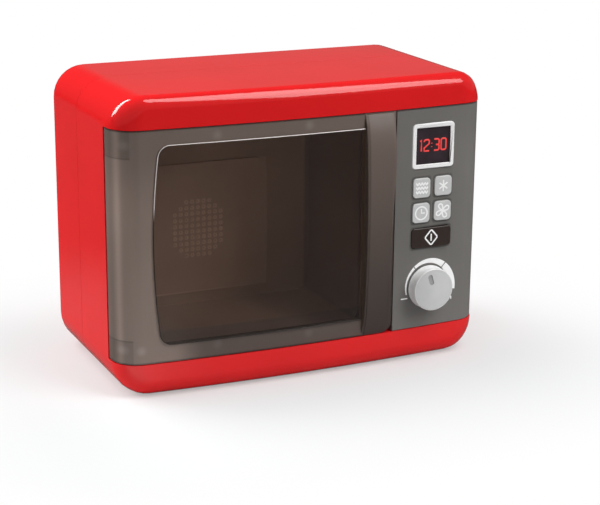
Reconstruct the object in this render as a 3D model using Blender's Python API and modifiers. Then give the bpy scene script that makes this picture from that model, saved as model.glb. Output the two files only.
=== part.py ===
"""Toy microwave oven: red two-part casing, smoky door that wraps the left corner, grey key panel.

Metres, +Z up. The front faces -Y and the origin is the middle of the casing's base.
"""
import math

import bmesh
import bpy
from mathutils import Matrix, Vector

# Casing outline
CASE_WIDTH = 0.2700
CASE_DEPTH = 0.1443
CASE_HEIGHT = 0.2021
CASE_WALL = 0.0025
TOP_CORNER_RADIUS = 0.0222
BOTTOM_CORNER_RADIUS = 0.0234
FRONT_SIDE_RADIUS = 0.0165
FRONT_TOP_RADIUS = 0.0085
FRONT_BOTTOM_RADIUS = 0.0140
REAR_EDGE_RADIUS = 0.0100
FRONT_BOW = 0.0061
VISOR_HEIGHT = 0.0210
LIP_HEIGHT = 0.0242
PARTING_DEPTH = 0.0840
PART_GAP = 0.0003
CUT_OVERRUN = 0.0040

# Front skin, shared by the door and the control panel
SKIN_SET = 0.0004
SKIN_WALL = 0.0022
SKIN_END_GAP = 0.0005
SPLIT_INSET = 0.0726
SPLIT_GAP = 0.0009

# Door
DOOR_WRAP = 0.0261
DOOR_CORNER_RADIUS = 0.0080
HINGE_INSET = 0.0062
HINGE_DEPTH = 0.0178
HINGE_PIN_RADIUS = 0.0012
HINGE_PIN_GRIP = 0.0080
HINGE_PIN_REACH = 0.0042
HINGE_BOSS_RADIUS = 0.0032
HINGE_BLOCK_WIDTH = 0.0122
HINGE_BLOCK_HEIGHT = 0.0164
HINGE_BLOCK_REAR = 0.0240
WINDOW_LEFT_MARGIN = 0.0245
WINDOW_TOP_MARGIN = 0.0107
WINDOW_BOTTOM_MARGIN = 0.0126
WINDOW_CORNER_RADIUS = 0.0072
WINDOW_BOW = 0.0046
WINDOW_TURN_STEPS = 5
WINDOW_SIDE_STEPS = 12
WINDOW_RISE = 0.0008
HANDLE_WIDTH = 0.0226
HANDLE_EDGE = 0.0012
HANDLE_WINDOW_LAP = 0.0004
HANDLE_RISE = 0.0066
HANDLE_LEAST_RISE = 0.0006
HANDLE_EMBED = 0.0011
HANDLE_SETBACK = 0.0004
HANDLE_LOW_MARGIN = 0.0023
HANDLE_TOP_MARGIN = 0.0010
HANDLE_ROUNDING = 0.0026
HANDLE_LEAN_SHARE = 0.10
HANDLE_LEFT_POWER = 0.45
HANDLE_RIGHT_POWER = 3.1
HANDLE_TURN_SHARES = (0.5, 0.4)
HANDLE_TURN_STEPS = 4
INNER_FRAME_STANDOFF = 0.0030
INNER_FRAME_WALL = 0.0020
INNER_FRAME_MARGIN = 0.0025
INNER_FRAME_WINDOW_GAP = 0.0008
PEG_RADIUS = 0.0020
PEG_TAIL = 0.0012
BLOCK_PEG_INSET = 0.0080
BLOCK_PEG_LENGTH = 0.0060
BLOCK_PEG_SHARE = 0.28
PEG_SHARES = (0.27, 0.73)

# Door catch
CATCH_THICKNESS = 0.0024
CATCH_HALF_HEIGHT = 0.0050
CATCH_TIP_DEPTH = 0.0390
CATCH_SLOT_SPARE = 0.0014
CLIP_WALL = 0.0012
CLIP_OVERHANG = 0.0010
CLIP_TAIL = 0.0016

# Oven cavity
LINER_WALL = 0.0020
LINER_REAR_SPACE = 0.0335
LINER_SIDE_RIM = 0.0075
LINER_TOP_RIM = 0.0061
LINER_CORNER_RADIUS = 0.0100
MULLION_INSET = 0.0835
MULLION_WIDTH = 0.0215
BAY_RIM = 0.0105
BACK_PANEL_WIDTH = 0.1080
BACK_PANEL_HEIGHT = 0.0960
BACK_PANEL_RISE = 0.0016
BACK_PANEL_RADIUS = 0.0100
BACK_PANEL_FOOT = 0.0082
BACK_PANEL_SET_LEFT = 0.0024
GRILLE_PITCH = 0.0044
GRILLE_HOLE_RADIUS = 0.0008
GRILLE_COLUMN_COUNT = 9
GRILLE_ROW_COUNT = 10
GRILLE_CLIP_COUNT = 2

# Screw posts and screws
POST_RADIUS = 0.0042
REAR_POST_RADIUS = 0.0048
POST_SIDE_INSET = 0.0160
POST_TOP_INSET = 0.0150
POST_BOTTOM_INSET = 0.0182
SCREW_SHANK_RADIUS = 0.0014
SCREW_HEAD_RADIUS = 0.0028
SCREW_HEAD_HEIGHT = 0.0016
SCREW_LENGTH = 0.0140
SCREW_TIP = 0.0012
SCREW_SLOT_WIDTH = 0.0007
SCREW_SLOT_DEPTH = 0.0008
SCREW_SLOT_SHARE = 0.62
POST_FLOOR = 0.0060
LINER_SCREW_LENGTH = 0.0045
LINER_SCREW_MARGIN = 0.0280

# Control panel
PANEL_AXIS_INSET = 0.0427
PANEL_RETURN_WALL = 0.0020
PANEL_POST_RADIUS = 0.0029
PANEL_POST_INSET = 0.0056
PANEL_POST_MARGIN = 0.0150
DISPLAY_MARGIN_SHARE = 0.0720
DISPLAY_WIDTH = 0.0324
DISPLAY_HEIGHT_SHARE = 0.2014
DISPLAY_CORNER = 0.0026
DISPLAY_PROUD = 0.0006
DISPLAY_BORDER = 0.0031
DISPLAY_LIP = 0.0008
SCREEN_SEAT = 0.0010
SCREEN_THICKNESS = 0.0016
KEY_ROW_GAP_SHARE = 0.0402
KEY_WIDTH = 0.0134
KEY_HEIGHT_SHARE = 0.0880
KEY_COLUMN_PITCH = 0.0173
KEY_ROW_PITCH_SHARE = 0.1128
KEY_CORNER = 0.0026
KEY_EDGE = 0.0005
KEY_PROUD = 0.0012
KEY_CLEARANCE = 0.0004
KEY_LIP = 0.0011
KEY_FLANGE = 0.0012
KEY_TRAVEL = 0.0012
STEM_LENGTH = 0.0015
STEM_RADIUS = 0.0022
START_GAP_SHARE = 0.0268
START_WIDTH = 0.0309
START_HEIGHT_SHARE = 0.0905

# Key mat and board
DOME_HEIGHT = 0.0016
DOME_RADIUS = 0.0030
MAT_THICKNESS = 0.0010
BOARD_THICKNESS = 0.0016
BOARD_BOSS_RADIUS = 0.0022
BOARD_MARGIN = 0.0024
BOARD_BOSS_GAP = 0.0006
BOARD_SCREW_LENGTH = 0.0060
CHIP_SIZE = 0.0110
CHIP_HEIGHT = 0.0022

# Timer knob and clicker
KNOB_INSET = 0.0444
KNOB_START_GAP_SHARE = 0.0815
KNOB_RADIUS_SHARE = 0.0982
KNOB_TAPER = 0.0003
KNOB_HEIGHT = 0.0088
KNOB_EDGE = 0.0009
KNOB_DISH = 0.0003
KNOB_GAP = 0.0005
KNOB_SEAT_RIM = 0.0006
KNOB_SEAT_RISE = 0.0002
KNOB_POINTER_TURN = math.radians(-17.5)
KNOB_SLOT_INNER = 0.0038
KNOB_SLOT_END_GAP = 0.0036
KNOB_SLOT_WIDTH = 0.0034
KNOB_SLOT_DEPTH = 0.0008
KNOB_SLOT_ROUND = 0.0015
SHAFT_RADIUS = 0.0030
SHAFT_SOCKET = 0.0055
SHAFT_END_DEPTH = 0.0245
SHAFT_COLLAR_RADIUS = 0.0048
SHAFT_COLLAR_LENGTH = 0.0015
BRACKET_DEPTH = 0.0190
BRACKET_WALL = 0.0022
BRACKET_HALF_WIDTH = 0.0160
BRACKET_HALF_HEIGHT = 0.0130
BRACKET_CORNER = 0.0028
BRACKET_LEG_RADIUS = 0.0024
BRACKET_LEG_INSET = 0.0002
WHEEL_RADIUS = 0.0086
WHEEL_TOOTH = 0.0008
WHEEL_TOOTH_COUNT = 24
WHEEL_WIDTH = 0.0026
CLICKER_STRIP = 0.0008
CLICKER_NOSE = 0.0011
CLICKER_HALF_LENGTH = 0.0105
CLICKER_FOOT = 0.0030

# Speaker behind the cavity
SPEAKER_RADIUS = 0.0245
SPEAKER_RIM = 0.0030
SPEAKER_RIM_THICKNESS = 0.0012
SPEAKER_CONE_DEPTH = 0.0060
SPEAKER_WALL = 0.0008
MAGNET_RADIUS = 0.0100
MAGNET_HEIGHT = 0.0050
RETAINER_WIDTH = 0.0035
RETAINER_CAP = 0.0012

# Cavity lamp
LAMP_RADIUS = 0.0025
LAMP_LENGTH = 0.0052
LAMP_FLANGE_RADIUS = 0.0033
LAMP_FLANGE = 0.0012
LAMP_DEPTH = 0.0620

# Battery compartment
CELL_RADIUS = 0.00725
CELL_LENGTH = 0.0490
CELL_NUB_RADIUS = 0.0027
CELL_NUB = 0.0014
CELL_COUNT = 3
CELL_GAP = 0.0008
BATTERY_WALL = 0.0016
CONTACT_THICKNESS = 0.0006
CONTACT_WIDTH = 0.0090
BATTERY_INSET = 0.0450
BATTERY_BOTTOM = 0.0420
COVER_THICKNESS = 0.0021
COVER_TAB = 0.0126
COVER_RADIUS = 0.0030
COVER_SCREW_LENGTH = 0.0070
COVER_POST_RADIUS = 0.0040

# Vent slots in the back
VENT_COUNT = 7
VENT_PITCH = 0.0065
VENT_WIDTH = 0.0025
VENT_HEIGHT = 0.0340
VENT_ROUND_SHARE = 0.46

# Leads
LEAD_RADIUS = 0.0009
LEAD_INSET = 0.0060
LEAD_SWEEP = 0.0350
LEAD_BEND = 0.0120
LEAD_STEPS = 12

# Mesh fineness
CORNER_STEPS = 8
BOW_STEPS = 8
FRONT_STEPS = 5
REAR_STEPS = 4
ROUND_SIDE_COUNT = 16
KNOB_SIDE_COUNT = 56
HANDLE_STEPS = 22
SMOOTH_ANGLE = math.radians(32)
MERGE_DISTANCE = 0.00001

# Sizes that follow from the ones above
HALF_WIDTH = CASE_WIDTH / 2
FRONT = -CASE_DEPTH / 2
REAR = CASE_DEPTH / 2
VISOR_Z = CASE_HEIGHT - VISOR_HEIGHT
FRONT_HEIGHT = VISOR_Z - LIP_HEIGHT
SKIN_LOW = LIP_HEIGHT + SKIN_END_GAP
SKIN_HIGH = VISOR_Z - SKIN_END_GAP
SKIN_BACK = SKIN_SET + SKIN_WALL
SPLIT_X = HALF_WIDTH - SPLIT_INSET
HINGE_X = HINGE_INSET - HALF_WIDTH
HINGE_Y = FRONT + HINGE_DEPTH
SWING_RADIUS = math.hypot(HINGE_INSET - SKIN_SET, DOOR_WRAP - HINGE_DEPTH)
SWING_AT_WALL = math.sqrt(SWING_RADIUS ** 2 - (HINGE_INSET - CASE_WALL) ** 2)
NOTCH_DEPTH = HINGE_DEPTH + SWING_AT_WALL + PART_GAP
FLANGE_DEPTH = HINGE_DEPTH + SWING_RADIUS + PART_GAP
RIM_DEPTH = FLANGE_DEPTH + LINER_WALL + PART_GAP
RIM_REAR_DEPTH = RIM_DEPTH + CASE_WALL
MULLION_LEFT = HALF_WIDTH - MULLION_INSET
LINER_LEFT = CASE_WALL + LINER_SIDE_RIM + PART_GAP - HALF_WIDTH
LINER_RIGHT = MULLION_LEFT - PART_GAP
LINER_LOW = LIP_HEIGHT + PART_GAP
LINER_HIGH = VISOR_Z - LINER_TOP_RIM - PART_GAP
LINER_DEPTH = CASE_DEPTH - LINER_REAR_SPACE
LINER_REAR_DEPTH = LINER_DEPTH + LINER_WALL
FLANGE_RIGHT = SPLIT_X - PART_GAP
CAVITY_LEFT = LINER_LEFT + LINER_WALL
CAVITY_RIGHT = LINER_RIGHT - LINER_WALL
CAVITY_LOW = LINER_LOW + LINER_WALL
CAVITY_HIGH = LINER_HIGH - LINER_WALL
CAVITY_X = (CAVITY_LEFT + CAVITY_RIGHT) / 2
GRILLE_X = CAVITY_X - BACK_PANEL_SET_LEFT
GRILLE_Z = CAVITY_LOW + BACK_PANEL_FOOT + BACK_PANEL_HEIGHT / 2
PANEL_LEFT = SPLIT_X + SPLIT_GAP
PANEL_AXIS_X = HALF_WIDTH - PANEL_AXIS_INSET
DISPLAY_HEIGHT = FRONT_HEIGHT * DISPLAY_HEIGHT_SHARE
KEY_HEIGHT = FRONT_HEIGHT * KEY_HEIGHT_SHARE
START_HEIGHT = FRONT_HEIGHT * START_HEIGHT_SHARE
KNOB_RADIUS = FRONT_HEIGHT * KNOB_RADIUS_SHARE
KNOB_FACE_RADIUS = KNOB_RADIUS - KNOB_TAPER
KNOB_SEAT_RADIUS = KNOB_RADIUS + KNOB_SEAT_RIM
DISPLAY_Z = VISOR_Z - FRONT_HEIGHT * DISPLAY_MARGIN_SHARE - DISPLAY_HEIGHT / 2
KEY_TOP_Z = DISPLAY_Z - DISPLAY_HEIGHT / 2 - FRONT_HEIGHT * KEY_ROW_GAP_SHARE - KEY_HEIGHT / 2
KEY_LOW_Z = KEY_TOP_Z - FRONT_HEIGHT * KEY_ROW_PITCH_SHARE
START_Z = KEY_LOW_Z - KEY_HEIGHT / 2 - FRONT_HEIGHT * START_GAP_SHARE - START_HEIGHT / 2
KNOB_X = HALF_WIDTH - KNOB_INSET
KNOB_Z = START_Z - START_HEIGHT / 2 - FRONT_HEIGHT * KNOB_START_GAP_SHARE - KNOB_RADIUS
KEY_LEFT_X = PANEL_AXIS_X - KEY_COLUMN_PITCH / 2
KEY_RIGHT_X = PANEL_AXIS_X + KEY_COLUMN_PITCH / 2
KEYS_REACH = max(KEY_COLUMN_PITCH + KEY_WIDTH, START_WIDTH, DISPLAY_WIDTH) / 2 + KEY_LIP
WINDOW_LEFT = WINDOW_LEFT_MARGIN - HALF_WIDTH
HANDLE_RIGHT = SPLIT_X - HANDLE_EDGE
HANDLE_LEFT = HANDLE_RIGHT - HANDLE_WIDTH
WINDOW_RIGHT = HANDLE_LEFT + HANDLE_WINDOW_LAP
WINDOW_LOW = LIP_HEIGHT + WINDOW_BOTTOM_MARGIN
WINDOW_HIGH = VISOR_Z - WINDOW_TOP_MARGIN
CATCH_X = (LINER_RIGHT + FLANGE_RIGHT) / 2
CATCH_Z = (SKIN_LOW + SKIN_HIGH) / 2

# Colours, roughness, metallic, alpha
FINISHES = {
    "red_plastic": ((0.72, 0.016, 0.020), 0.22, 0.0, 1.0),
    "smoky_plastic": ((0.14, 0.115, 0.10), 0.30, 0.0, 0.75),
    "grey_panel_plastic": ((0.135, 0.130, 0.122), 0.42, 0.0, 1.0),
    "dark_plastic": ((0.030, 0.028, 0.027), 0.45, 0.0, 1.0),
    "liner_plastic": ((0.33, 0.30, 0.27), 0.50, 0.0, 1.0),
    "white_plastic": ((0.84, 0.81, 0.80), 0.30, 0.0, 1.0),
    "screen_plastic": ((0.020, 0.014, 0.014), 0.12, 0.0, 1.0),
    "key_plastic": ((0.55, 0.55, 0.55), 0.40, 0.0, 1.0),
    "start_key_plastic": ((0.028, 0.020, 0.018), 0.15, 0.0, 1.0),
    "knob_plastic": ((0.50, 0.50, 0.50), 0.38, 0.4, 1.0),
    "mat_rubber": ((0.20, 0.21, 0.22), 0.80, 0.0, 1.0),
    "board_laminate": ((0.03, 0.20, 0.08), 0.50, 0.0, 1.0),
    "steel": ((0.56, 0.56, 0.58), 0.30, 1.0, 1.0),
    "speaker_paper": ((0.05, 0.05, 0.05), 0.90, 0.0, 1.0),
    "lamp_plastic": ((0.90, 0.72, 0.30), 0.15, 0.0, 1.0),
    "cell_label": ((0.10, 0.12, 0.16), 0.35, 0.2, 1.0),
    "lead_insulation": ((0.65, 0.03, 0.02), 0.50, 0.0, 1.0),
}


def clear_scene():
    """Remove whatever the scene holds before the oven is modelled."""
    for item in list(bpy.context.scene.objects):
        bpy.data.objects.remove(item, do_unlink=True)


def new_group(name):
    """Make a collection in the scene."""
    group = bpy.data.collections.new(name)
    bpy.context.scene.collection.children.link(group)
    return group


clear_scene()
PARTS = new_group("toy_microwave")
TOOLS = new_group("toy_microwave_cutters")


def finish_material(name):
    """Principled material for one finish."""
    found = bpy.data.materials.get(name)
    if found:
        return found
    colour, roughness, metallic, alpha = FINISHES[name]
    material = bpy.data.materials.new(name)
    material.use_nodes = True
    shader = material.node_tree.nodes["Principled BSDF"]
    shader.inputs["Base Color"].default_value = (*colour, 1.0)
    shader.inputs["Roughness"].default_value = roughness
    shader.inputs["Metallic"].default_value = metallic
    shader.inputs["Alpha"].default_value = alpha
    return material


def place(name, data, finish=None):
    """Put mesh or curve data in the scene: a part with a finish, or a cutter without one."""
    item = bpy.data.objects.new(name, data)
    if finish:
        data.materials.append(finish_material(finish))
        PARTS.objects.link(item)
    else:
        TOOLS.objects.link(item)
        item.hide_render = True
        item.display_type = "WIRE"
    return item


def from_bmesh(name, bm, finish=None, smooth=False):
    """Turn a bmesh into an object."""
    mesh = bpy.data.meshes.new(name)
    bm.to_mesh(mesh)
    bm.free()
    if smooth:
        mesh.shade_smooth()
        mesh.set_sharp_from_angle(angle=SMOOTH_ANGLE)
    return place(name, mesh, finish)


def combine(target, tool, operation):
    """Cut, join or intersect the target with a tool, which stays in the cutters' collection."""
    modifier = target.modifiers.new(tool.name, "BOOLEAN")
    modifier.operation = operation
    modifier.object = tool
    modifier.solver = "EXACT"
    return target


def cut(target, tool):
    """Take the tool's shape out of the target."""
    return combine(target, tool, "DIFFERENCE")


def join(target, tool):
    """Add the tool's shape to the target."""
    return combine(target, tool, "UNION")


def keep_inside(target, tool):
    """Keep only what lies inside the tool."""
    return combine(target, tool, "INTERSECT")


def slab(name, low, high, finish=None, axis=None, radius=0, corners=None, edge=0):
    """A block between two corners. Edges along one axis are rounded, all or at the named corners.

    A corner is named by its signs on the two other axes. The front rim may be eased by an edge.
    """
    bm = bmesh.new()
    bmesh.ops.create_cube(bm, size=2)
    middle = [(a + b) / 2 for a, b in zip(low, high)]
    half = [(b - a) / 2 for a, b in zip(low, high)]
    if radius:
        others = [i for i in range(3) if i != axis]
        picked = []
        for line in bm.edges:
            direction = line.verts[1].co - line.verts[0].co
            along = max(range(3), key=lambda i: abs(direction[i]))
            signs = tuple(int(line.verts[0].co[i]) for i in others)
            if along == axis and (corners is None or signs in corners):
                picked.append(line)
    for vert in bm.verts:
        vert.co = Vector([middle[i] + vert.co[i] * half[i] for i in range(3)])
    if radius:
        bmesh.ops.bevel(bm, geom=picked, offset=radius, segments=CORNER_STEPS // 2, affect="EDGES",
                        profile=0.5, material=-1)
    if edge:
        rim = [line for line in bm.edges if all(vert.co.y < low[1] + edge / 2 for vert in line.verts)]
        bmesh.ops.bevel(bm, geom=rim, offset=edge, segments=2, affect="EDGES", profile=0.5,
                        material=-1)
    return from_bmesh(name, bm, finish, smooth=bool(radius))


def rod(name, start, length, radius, axis, finish=None, sides=ROUND_SIDE_COUNT, tip_radius=None):
    """A round bar from its start point along +Y or +Z, straight or tapered."""
    turn = Matrix.Rotation(-math.pi / 2, 4, "X") if axis == "Y" else Matrix.Identity(4)
    lift = Matrix.Translation((0, 0, length / 2))
    bm = bmesh.new()
    bmesh.ops.create_cone(bm, cap_ends=True, segments=sides, radius1=radius,
                          radius2=radius if tip_radius is None else tip_radius, depth=length,
                          matrix=Matrix.Translation(start) @ turn @ lift)
    return from_bmesh(name, bm, finish, smooth=True)


def turned(name, profile, finish=None, location=(0, 0, 0), facing="-Y", ring=False,
           sides=ROUND_SIDE_COUNT * 2):
    """A turned piece. The profile gives (radius, height) from the top down its outer side."""
    bm = bmesh.new()
    verts = [bm.verts.new((radius, 0, height)) for radius, height in profile]
    for first, second in zip(verts, verts[1:]):
        bm.edges.new((first, second))
    if ring:
        bm.edges.new((verts[-1], verts[0]))
    item = from_bmesh(name, bm, finish)
    item.location = location
    item.rotation_euler = {"-Y": (math.pi / 2, 0, 0), "+Z": (0, 0, 0), "-Z": (math.pi, 0, 0)}[facing]
    screw = item.modifiers.new("turn", "SCREW")
    screw.axis = "Z"
    screw.steps = sides
    screw.render_steps = sides
    screw.use_merge_vertices = True
    screw.merge_threshold = MERGE_DISTANCE
    screw.use_smooth_shade = True
    return item


def solid_mesh(item):
    """Freeze an object's modifiers into a mesh of its own and remove the object."""
    bpy.context.view_layer.update()
    evaluated = item.evaluated_get(bpy.context.evaluated_depsgraph_get())
    mesh = bpy.data.meshes.new_from_object(evaluated)
    mesh.name = item.name
    bpy.data.objects.remove(item, do_unlink=True)
    return mesh


def move_origin(item, point):
    """Shift the object's origin to a point without moving its mesh in the world."""
    item.data.transform(Matrix.Translation(-Vector(point)))
    item.location = point
    return item


def skin_y(x, depth=0):
    """Y of the bowed front skin at x, or of a layer at a depth behind its face."""
    return FRONT + SKIN_SET + depth + FRONT_BOW * (x / HALF_WIDTH) ** 2


# Casing form

def section_ring(inset):
    """Points and outward directions round the casing's section, seen from the front."""
    half = HALF_WIDTH - inset
    top_radius = TOP_CORNER_RADIUS - inset
    low_radius = BOTTOM_CORNER_RADIUS - inset
    top = CASE_HEIGHT - inset - top_radius
    low = inset + low_radius
    corners = ((half - top_radius, top, top_radius), (top_radius - half, top, top_radius),
               (low_radius - half, low, low_radius), (half - low_radius, low, low_radius))
    ring = []
    for quarter, (x, z, radius) in enumerate(corners):
        for step in range(CORNER_STEPS + 1):
            angle = math.pi / 2 * (quarter + step / CORNER_STEPS)
            across, up = math.cos(angle), math.sin(angle)
            ring.append((x + radius * across, z + radius * up, across, up))
        if quarter in (0, 2):
            start, level, across, up = ring[-1]
            for step in range(1, BOW_STEPS):
                ring.append((start * (1 - 2 * step / BOW_STEPS), level, 0, up))
    return ring


def rounded_front_rings(inset):
    """Rings of the rounded front rim, which bows out in the middle of the front."""
    rings = []
    for step in range(FRONT_STEPS + 1):
        angle = math.pi / 2 * step / FRONT_STEPS
        ring = []
        for x, z, across, up in section_ring(inset):
            edge_radius = FRONT_TOP_RADIUS if up > 0 else FRONT_BOTTOM_RADIUS
            reach_x = (FRONT_SIDE_RADIUS - inset) * across
            reach_z = (edge_radius - inset) * up
            inward = 1 - math.sin(angle)
            ring_x, ring_z = x - reach_x * inward, z - reach_z * inward
            drop = math.hypot(reach_x, reach_z) * (1 - math.cos(angle))
            ring.append((ring_x, FRONT + inset + drop + FRONT_BOW * (ring_x / HALF_WIDTH) ** 2, ring_z))
        rings.append(ring)
    return rings


def rounded_rear_rings(inset):
    """Rings of the rounded rear rim, ending at the flat back."""
    radius = REAR_EDGE_RADIUS - inset
    rings = []
    for step in range(REAR_STEPS + 1):
        angle = math.pi / 2 * step / REAR_STEPS
        shift = radius * (1 - math.cos(angle))
        depth = REAR - inset - radius * (1 - math.sin(angle))
        rings.append([(x - across * shift, depth, z - up * shift)
                      for x, z, across, up in section_ring(inset)])
    return rings


def casing_form(name, inset, front_y=None, rear_y=None, finish=None):
    """The casing's outer form at an inset, closed flat where a front or rear place is given."""
    flat = [point[:2] for point in section_ring(inset)]
    rings = rounded_front_rings(inset) if front_y is None else [[(x, front_y, z) for x, z in flat]]
    rings += rounded_rear_rings(inset) if rear_y is None else [[(x, rear_y, z) for x, z in flat]]
    bm = bmesh.new()
    loops = [[bm.verts.new(point) for point in ring] for ring in rings]
    count = len(loops[0])
    for near, far in zip(loops, loops[1:]):
        for i in range(count):
            j = (i + 1) % count
            bm.faces.new((near[i], near[j], far[j], far[i]))
    if front_y is None:
        for i in range(count // 2 - 1):
            across = count - 1 - i
            bm.faces.new((loops[0][i], loops[0][i + 1], loops[0][across - 1], loops[0][across]))
    else:
        bm.faces.new(loops[0])
    bm.faces.new(loops[-1])
    bmesh.ops.recalc_face_normals(bm, faces=bm.faces)
    return from_bmesh(name, bm, finish, smooth=True)


# Casing

def post_places():
    """Places of the four screw posts that hold the two casings together."""
    x = HALF_WIDTH - POST_SIDE_INSET
    low, high = POST_BOTTOM_INSET, CASE_HEIGHT - POST_TOP_INSET
    return [(-x, low), (x, low), (-x, high), (x, high)]


def make_front_casing():
    """Red front shell with visor, lower lip, side walls and the rim that carries the liner."""
    parting = FRONT + PARTING_DEPTH - PART_GAP / 2
    casing = casing_form("front_casing", 0, rear_y=parting, finish="red_plastic")
    hollow = casing_form("front_hollow", CASE_WALL, rear_y=parting + CUT_OVERRUN)
    band = slab("front_band", (-CASE_WIDTH, FRONT - CUT_OVERRUN, LIP_HEIGHT - CASE_WALL),
                (CASE_WIDTH, FRONT + RIM_REAR_DEPTH, VISOR_Z + CASE_WALL))
    cut(hollow, band)
    cut(casing, hollow)
    cut(casing, slab("front_notch", (-CASE_WIDTH, FRONT - CUT_OVERRUN, LIP_HEIGHT),
                     (CASE_WIDTH, FRONT + NOTCH_DEPTH, VISOR_Z)))
    inside = HALF_WIDTH - CASE_WALL
    cut(casing, slab("flange_seat", (-inside, FRONT, LIP_HEIGHT),
                     (inside, FRONT + RIM_DEPTH, VISOR_Z)))
    rear = FRONT + RIM_REAR_DEPTH + CUT_OVERRUN
    cut(casing, slab("cavity_opening", (LINER_LEFT - PART_GAP, FRONT, LIP_HEIGHT),
                     (LINER_RIGHT + PART_GAP, rear, LINER_HIGH + PART_GAP)))
    cut(casing, slab("bay_opening", (MULLION_LEFT + MULLION_WIDTH, FRONT, LIP_HEIGHT),
                     (inside - BAY_RIM, rear, VISOR_Z - LINER_TOP_RIM)))
    for index, (x, z) in enumerate(post_places()):
        start = FRONT + RIM_DEPTH
        join(casing, rod(f"front_post_{index + 1}", (x, start, z), parting - start, POST_RADIUS, "Y"))
    for index, (x, z) in enumerate(post_places()):
        length = SCREW_LENGTH - POST_FLOOR + CUT_OVERRUN
        cut(casing, rod(f"front_pilot_{index + 1}", (x, parting + CUT_OVERRUN - length, z), length,
                        SCREW_SHANK_RADIUS + PART_GAP, "Y"))
    add_hinge_sockets(casing)
    cut(casing, catch_slot("mullion_catch_slot", FRONT + FLANGE_DEPTH, rear))
    for index, (x, z) in enumerate(liner_screw_places()):
        cut(casing, rod(f"rim_screw_hole_{index + 1}", (x, FRONT + FLANGE_DEPTH, z),
                        RIM_REAR_DEPTH - FLANGE_DEPTH + CUT_OVERRUN, SCREW_SHANK_RADIUS + PART_GAP, "Y"))
    for index, (x, z) in enumerate(panel_post_places()[:2]):
        cut(casing, rod(f"mullion_screw_hole_{index + 1}", (x, FRONT + FLANGE_DEPTH, z),
                        RIM_REAR_DEPTH - FLANGE_DEPTH + CUT_OVERRUN, SCREW_SHANK_RADIUS + PART_GAP, "Y"))
    return casing


def add_hinge_sockets(casing):
    """Bosses above and below the door that its hinge pins turn in."""
    boss = HINGE_PIN_REACH + CASE_WALL / 2
    bore = HINGE_PIN_REACH + PART_GAP
    radius = HINGE_PIN_RADIUS + PART_GAP
    for name, start in (("upper_socket", VISOR_Z + CASE_WALL / 2),
                        ("lower_socket", LIP_HEIGHT - CASE_WALL / 2 - boss)):
        join(casing, rod(name, (HINGE_X, HINGE_Y, start), boss, HINGE_BOSS_RADIUS, "Z"))
    for name, start in (("upper_pin_bore", VISOR_Z - CUT_OVERRUN), ("lower_pin_bore", LIP_HEIGHT - bore)):
        cut(casing, rod(name, (HINGE_X, HINGE_Y, start), bore + CUT_OVERRUN, radius, "Z"))


def make_rear_casing():
    """Red rear shell with long screw posts, vent slots and the battery opening."""
    parting = FRONT + PARTING_DEPTH + PART_GAP / 2
    casing = casing_form("rear_casing", 0, front_y=parting, finish="red_plastic")
    cut(casing, casing_form("rear_hollow", CASE_WALL, front_y=parting - CUT_OVERRUN))
    for index, (x, z) in enumerate(post_places()):
        join(casing, rod(f"rear_post_{index + 1}", (x, parting, z), REAR - CASE_WALL / 2 - parting,
                         REAR_POST_RADIUS, "Y"))
    for index, (x, z) in enumerate(post_places()):
        cut(casing, rod(f"counterbore_{index + 1}", (x, parting + POST_FLOOR, z),
                        REAR - parting - POST_FLOOR + CUT_OVERRUN, SCREW_HEAD_RADIUS + PART_GAP, "Y"))
        cut(casing, rod(f"clearance_hole_{index + 1}", (x, parting - CUT_OVERRUN, z),
                        POST_FLOOR + CUT_OVERRUN * 2, SCREW_SHANK_RADIUS + PART_GAP, "Y"))
    for index in range(VENT_COUNT):
        x = GRILLE_X + (index - (VENT_COUNT - 1) / 2) * VENT_PITCH
        cut(casing, slab(f"vent_slot_{index + 1}",
                         (x - VENT_WIDTH / 2, REAR - CASE_WALL - CUT_OVERRUN, GRILLE_Z - VENT_HEIGHT / 2),
                         (x + VENT_WIDTH / 2, REAR + CUT_OVERRUN, GRILLE_Z + VENT_HEIGHT / 2), axis=1,
                         radius=VENT_WIDTH * VENT_ROUND_SHARE))
    left, right, low, high = battery_opening()
    cut(casing, slab("battery_opening", (left, REAR - CASE_WALL - CUT_OVERRUN, low),
                     (right, REAR + CUT_OVERRUN, high), axis=1, radius=COVER_RADIUS))
    x, z = cover_screw_place()
    join(casing, rod("cover_post", (x, REAR - CASE_WALL - COVER_SCREW_LENGTH, z),
                     COVER_SCREW_LENGTH + CASE_WALL / 2, COVER_POST_RADIUS, "Y"))
    cut(casing, slab("cover_tab_recess", (x - COVER_TAB / 2 - PART_GAP, REAR - COVER_THICKNESS - PART_GAP,
                                          high - COVER_RADIUS),
                     (x + COVER_TAB / 2 + PART_GAP, REAR + CUT_OVERRUN, high + COVER_TAB + PART_GAP)))
    cut(casing, rod("cover_pilot", (x, REAR - COVER_SCREW_LENGTH - PART_GAP, z),
                    COVER_SCREW_LENGTH + CUT_OVERRUN, SCREW_SHANK_RADIUS + PART_GAP, "Y"))
    return casing


def make_casing_screws():
    """Four screws driven from the back, deep in the rear posts."""
    mesh = screw_mesh("casing_screw_mesh", SCREW_LENGTH)
    seat = FRONT + PARTING_DEPTH + PART_GAP / 2 + POST_FLOOR + PART_GAP
    for index, (x, z) in enumerate(post_places()):
        put_screw(f"casing_screw_{index + 1}", mesh, (x, seat, z))


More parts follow.
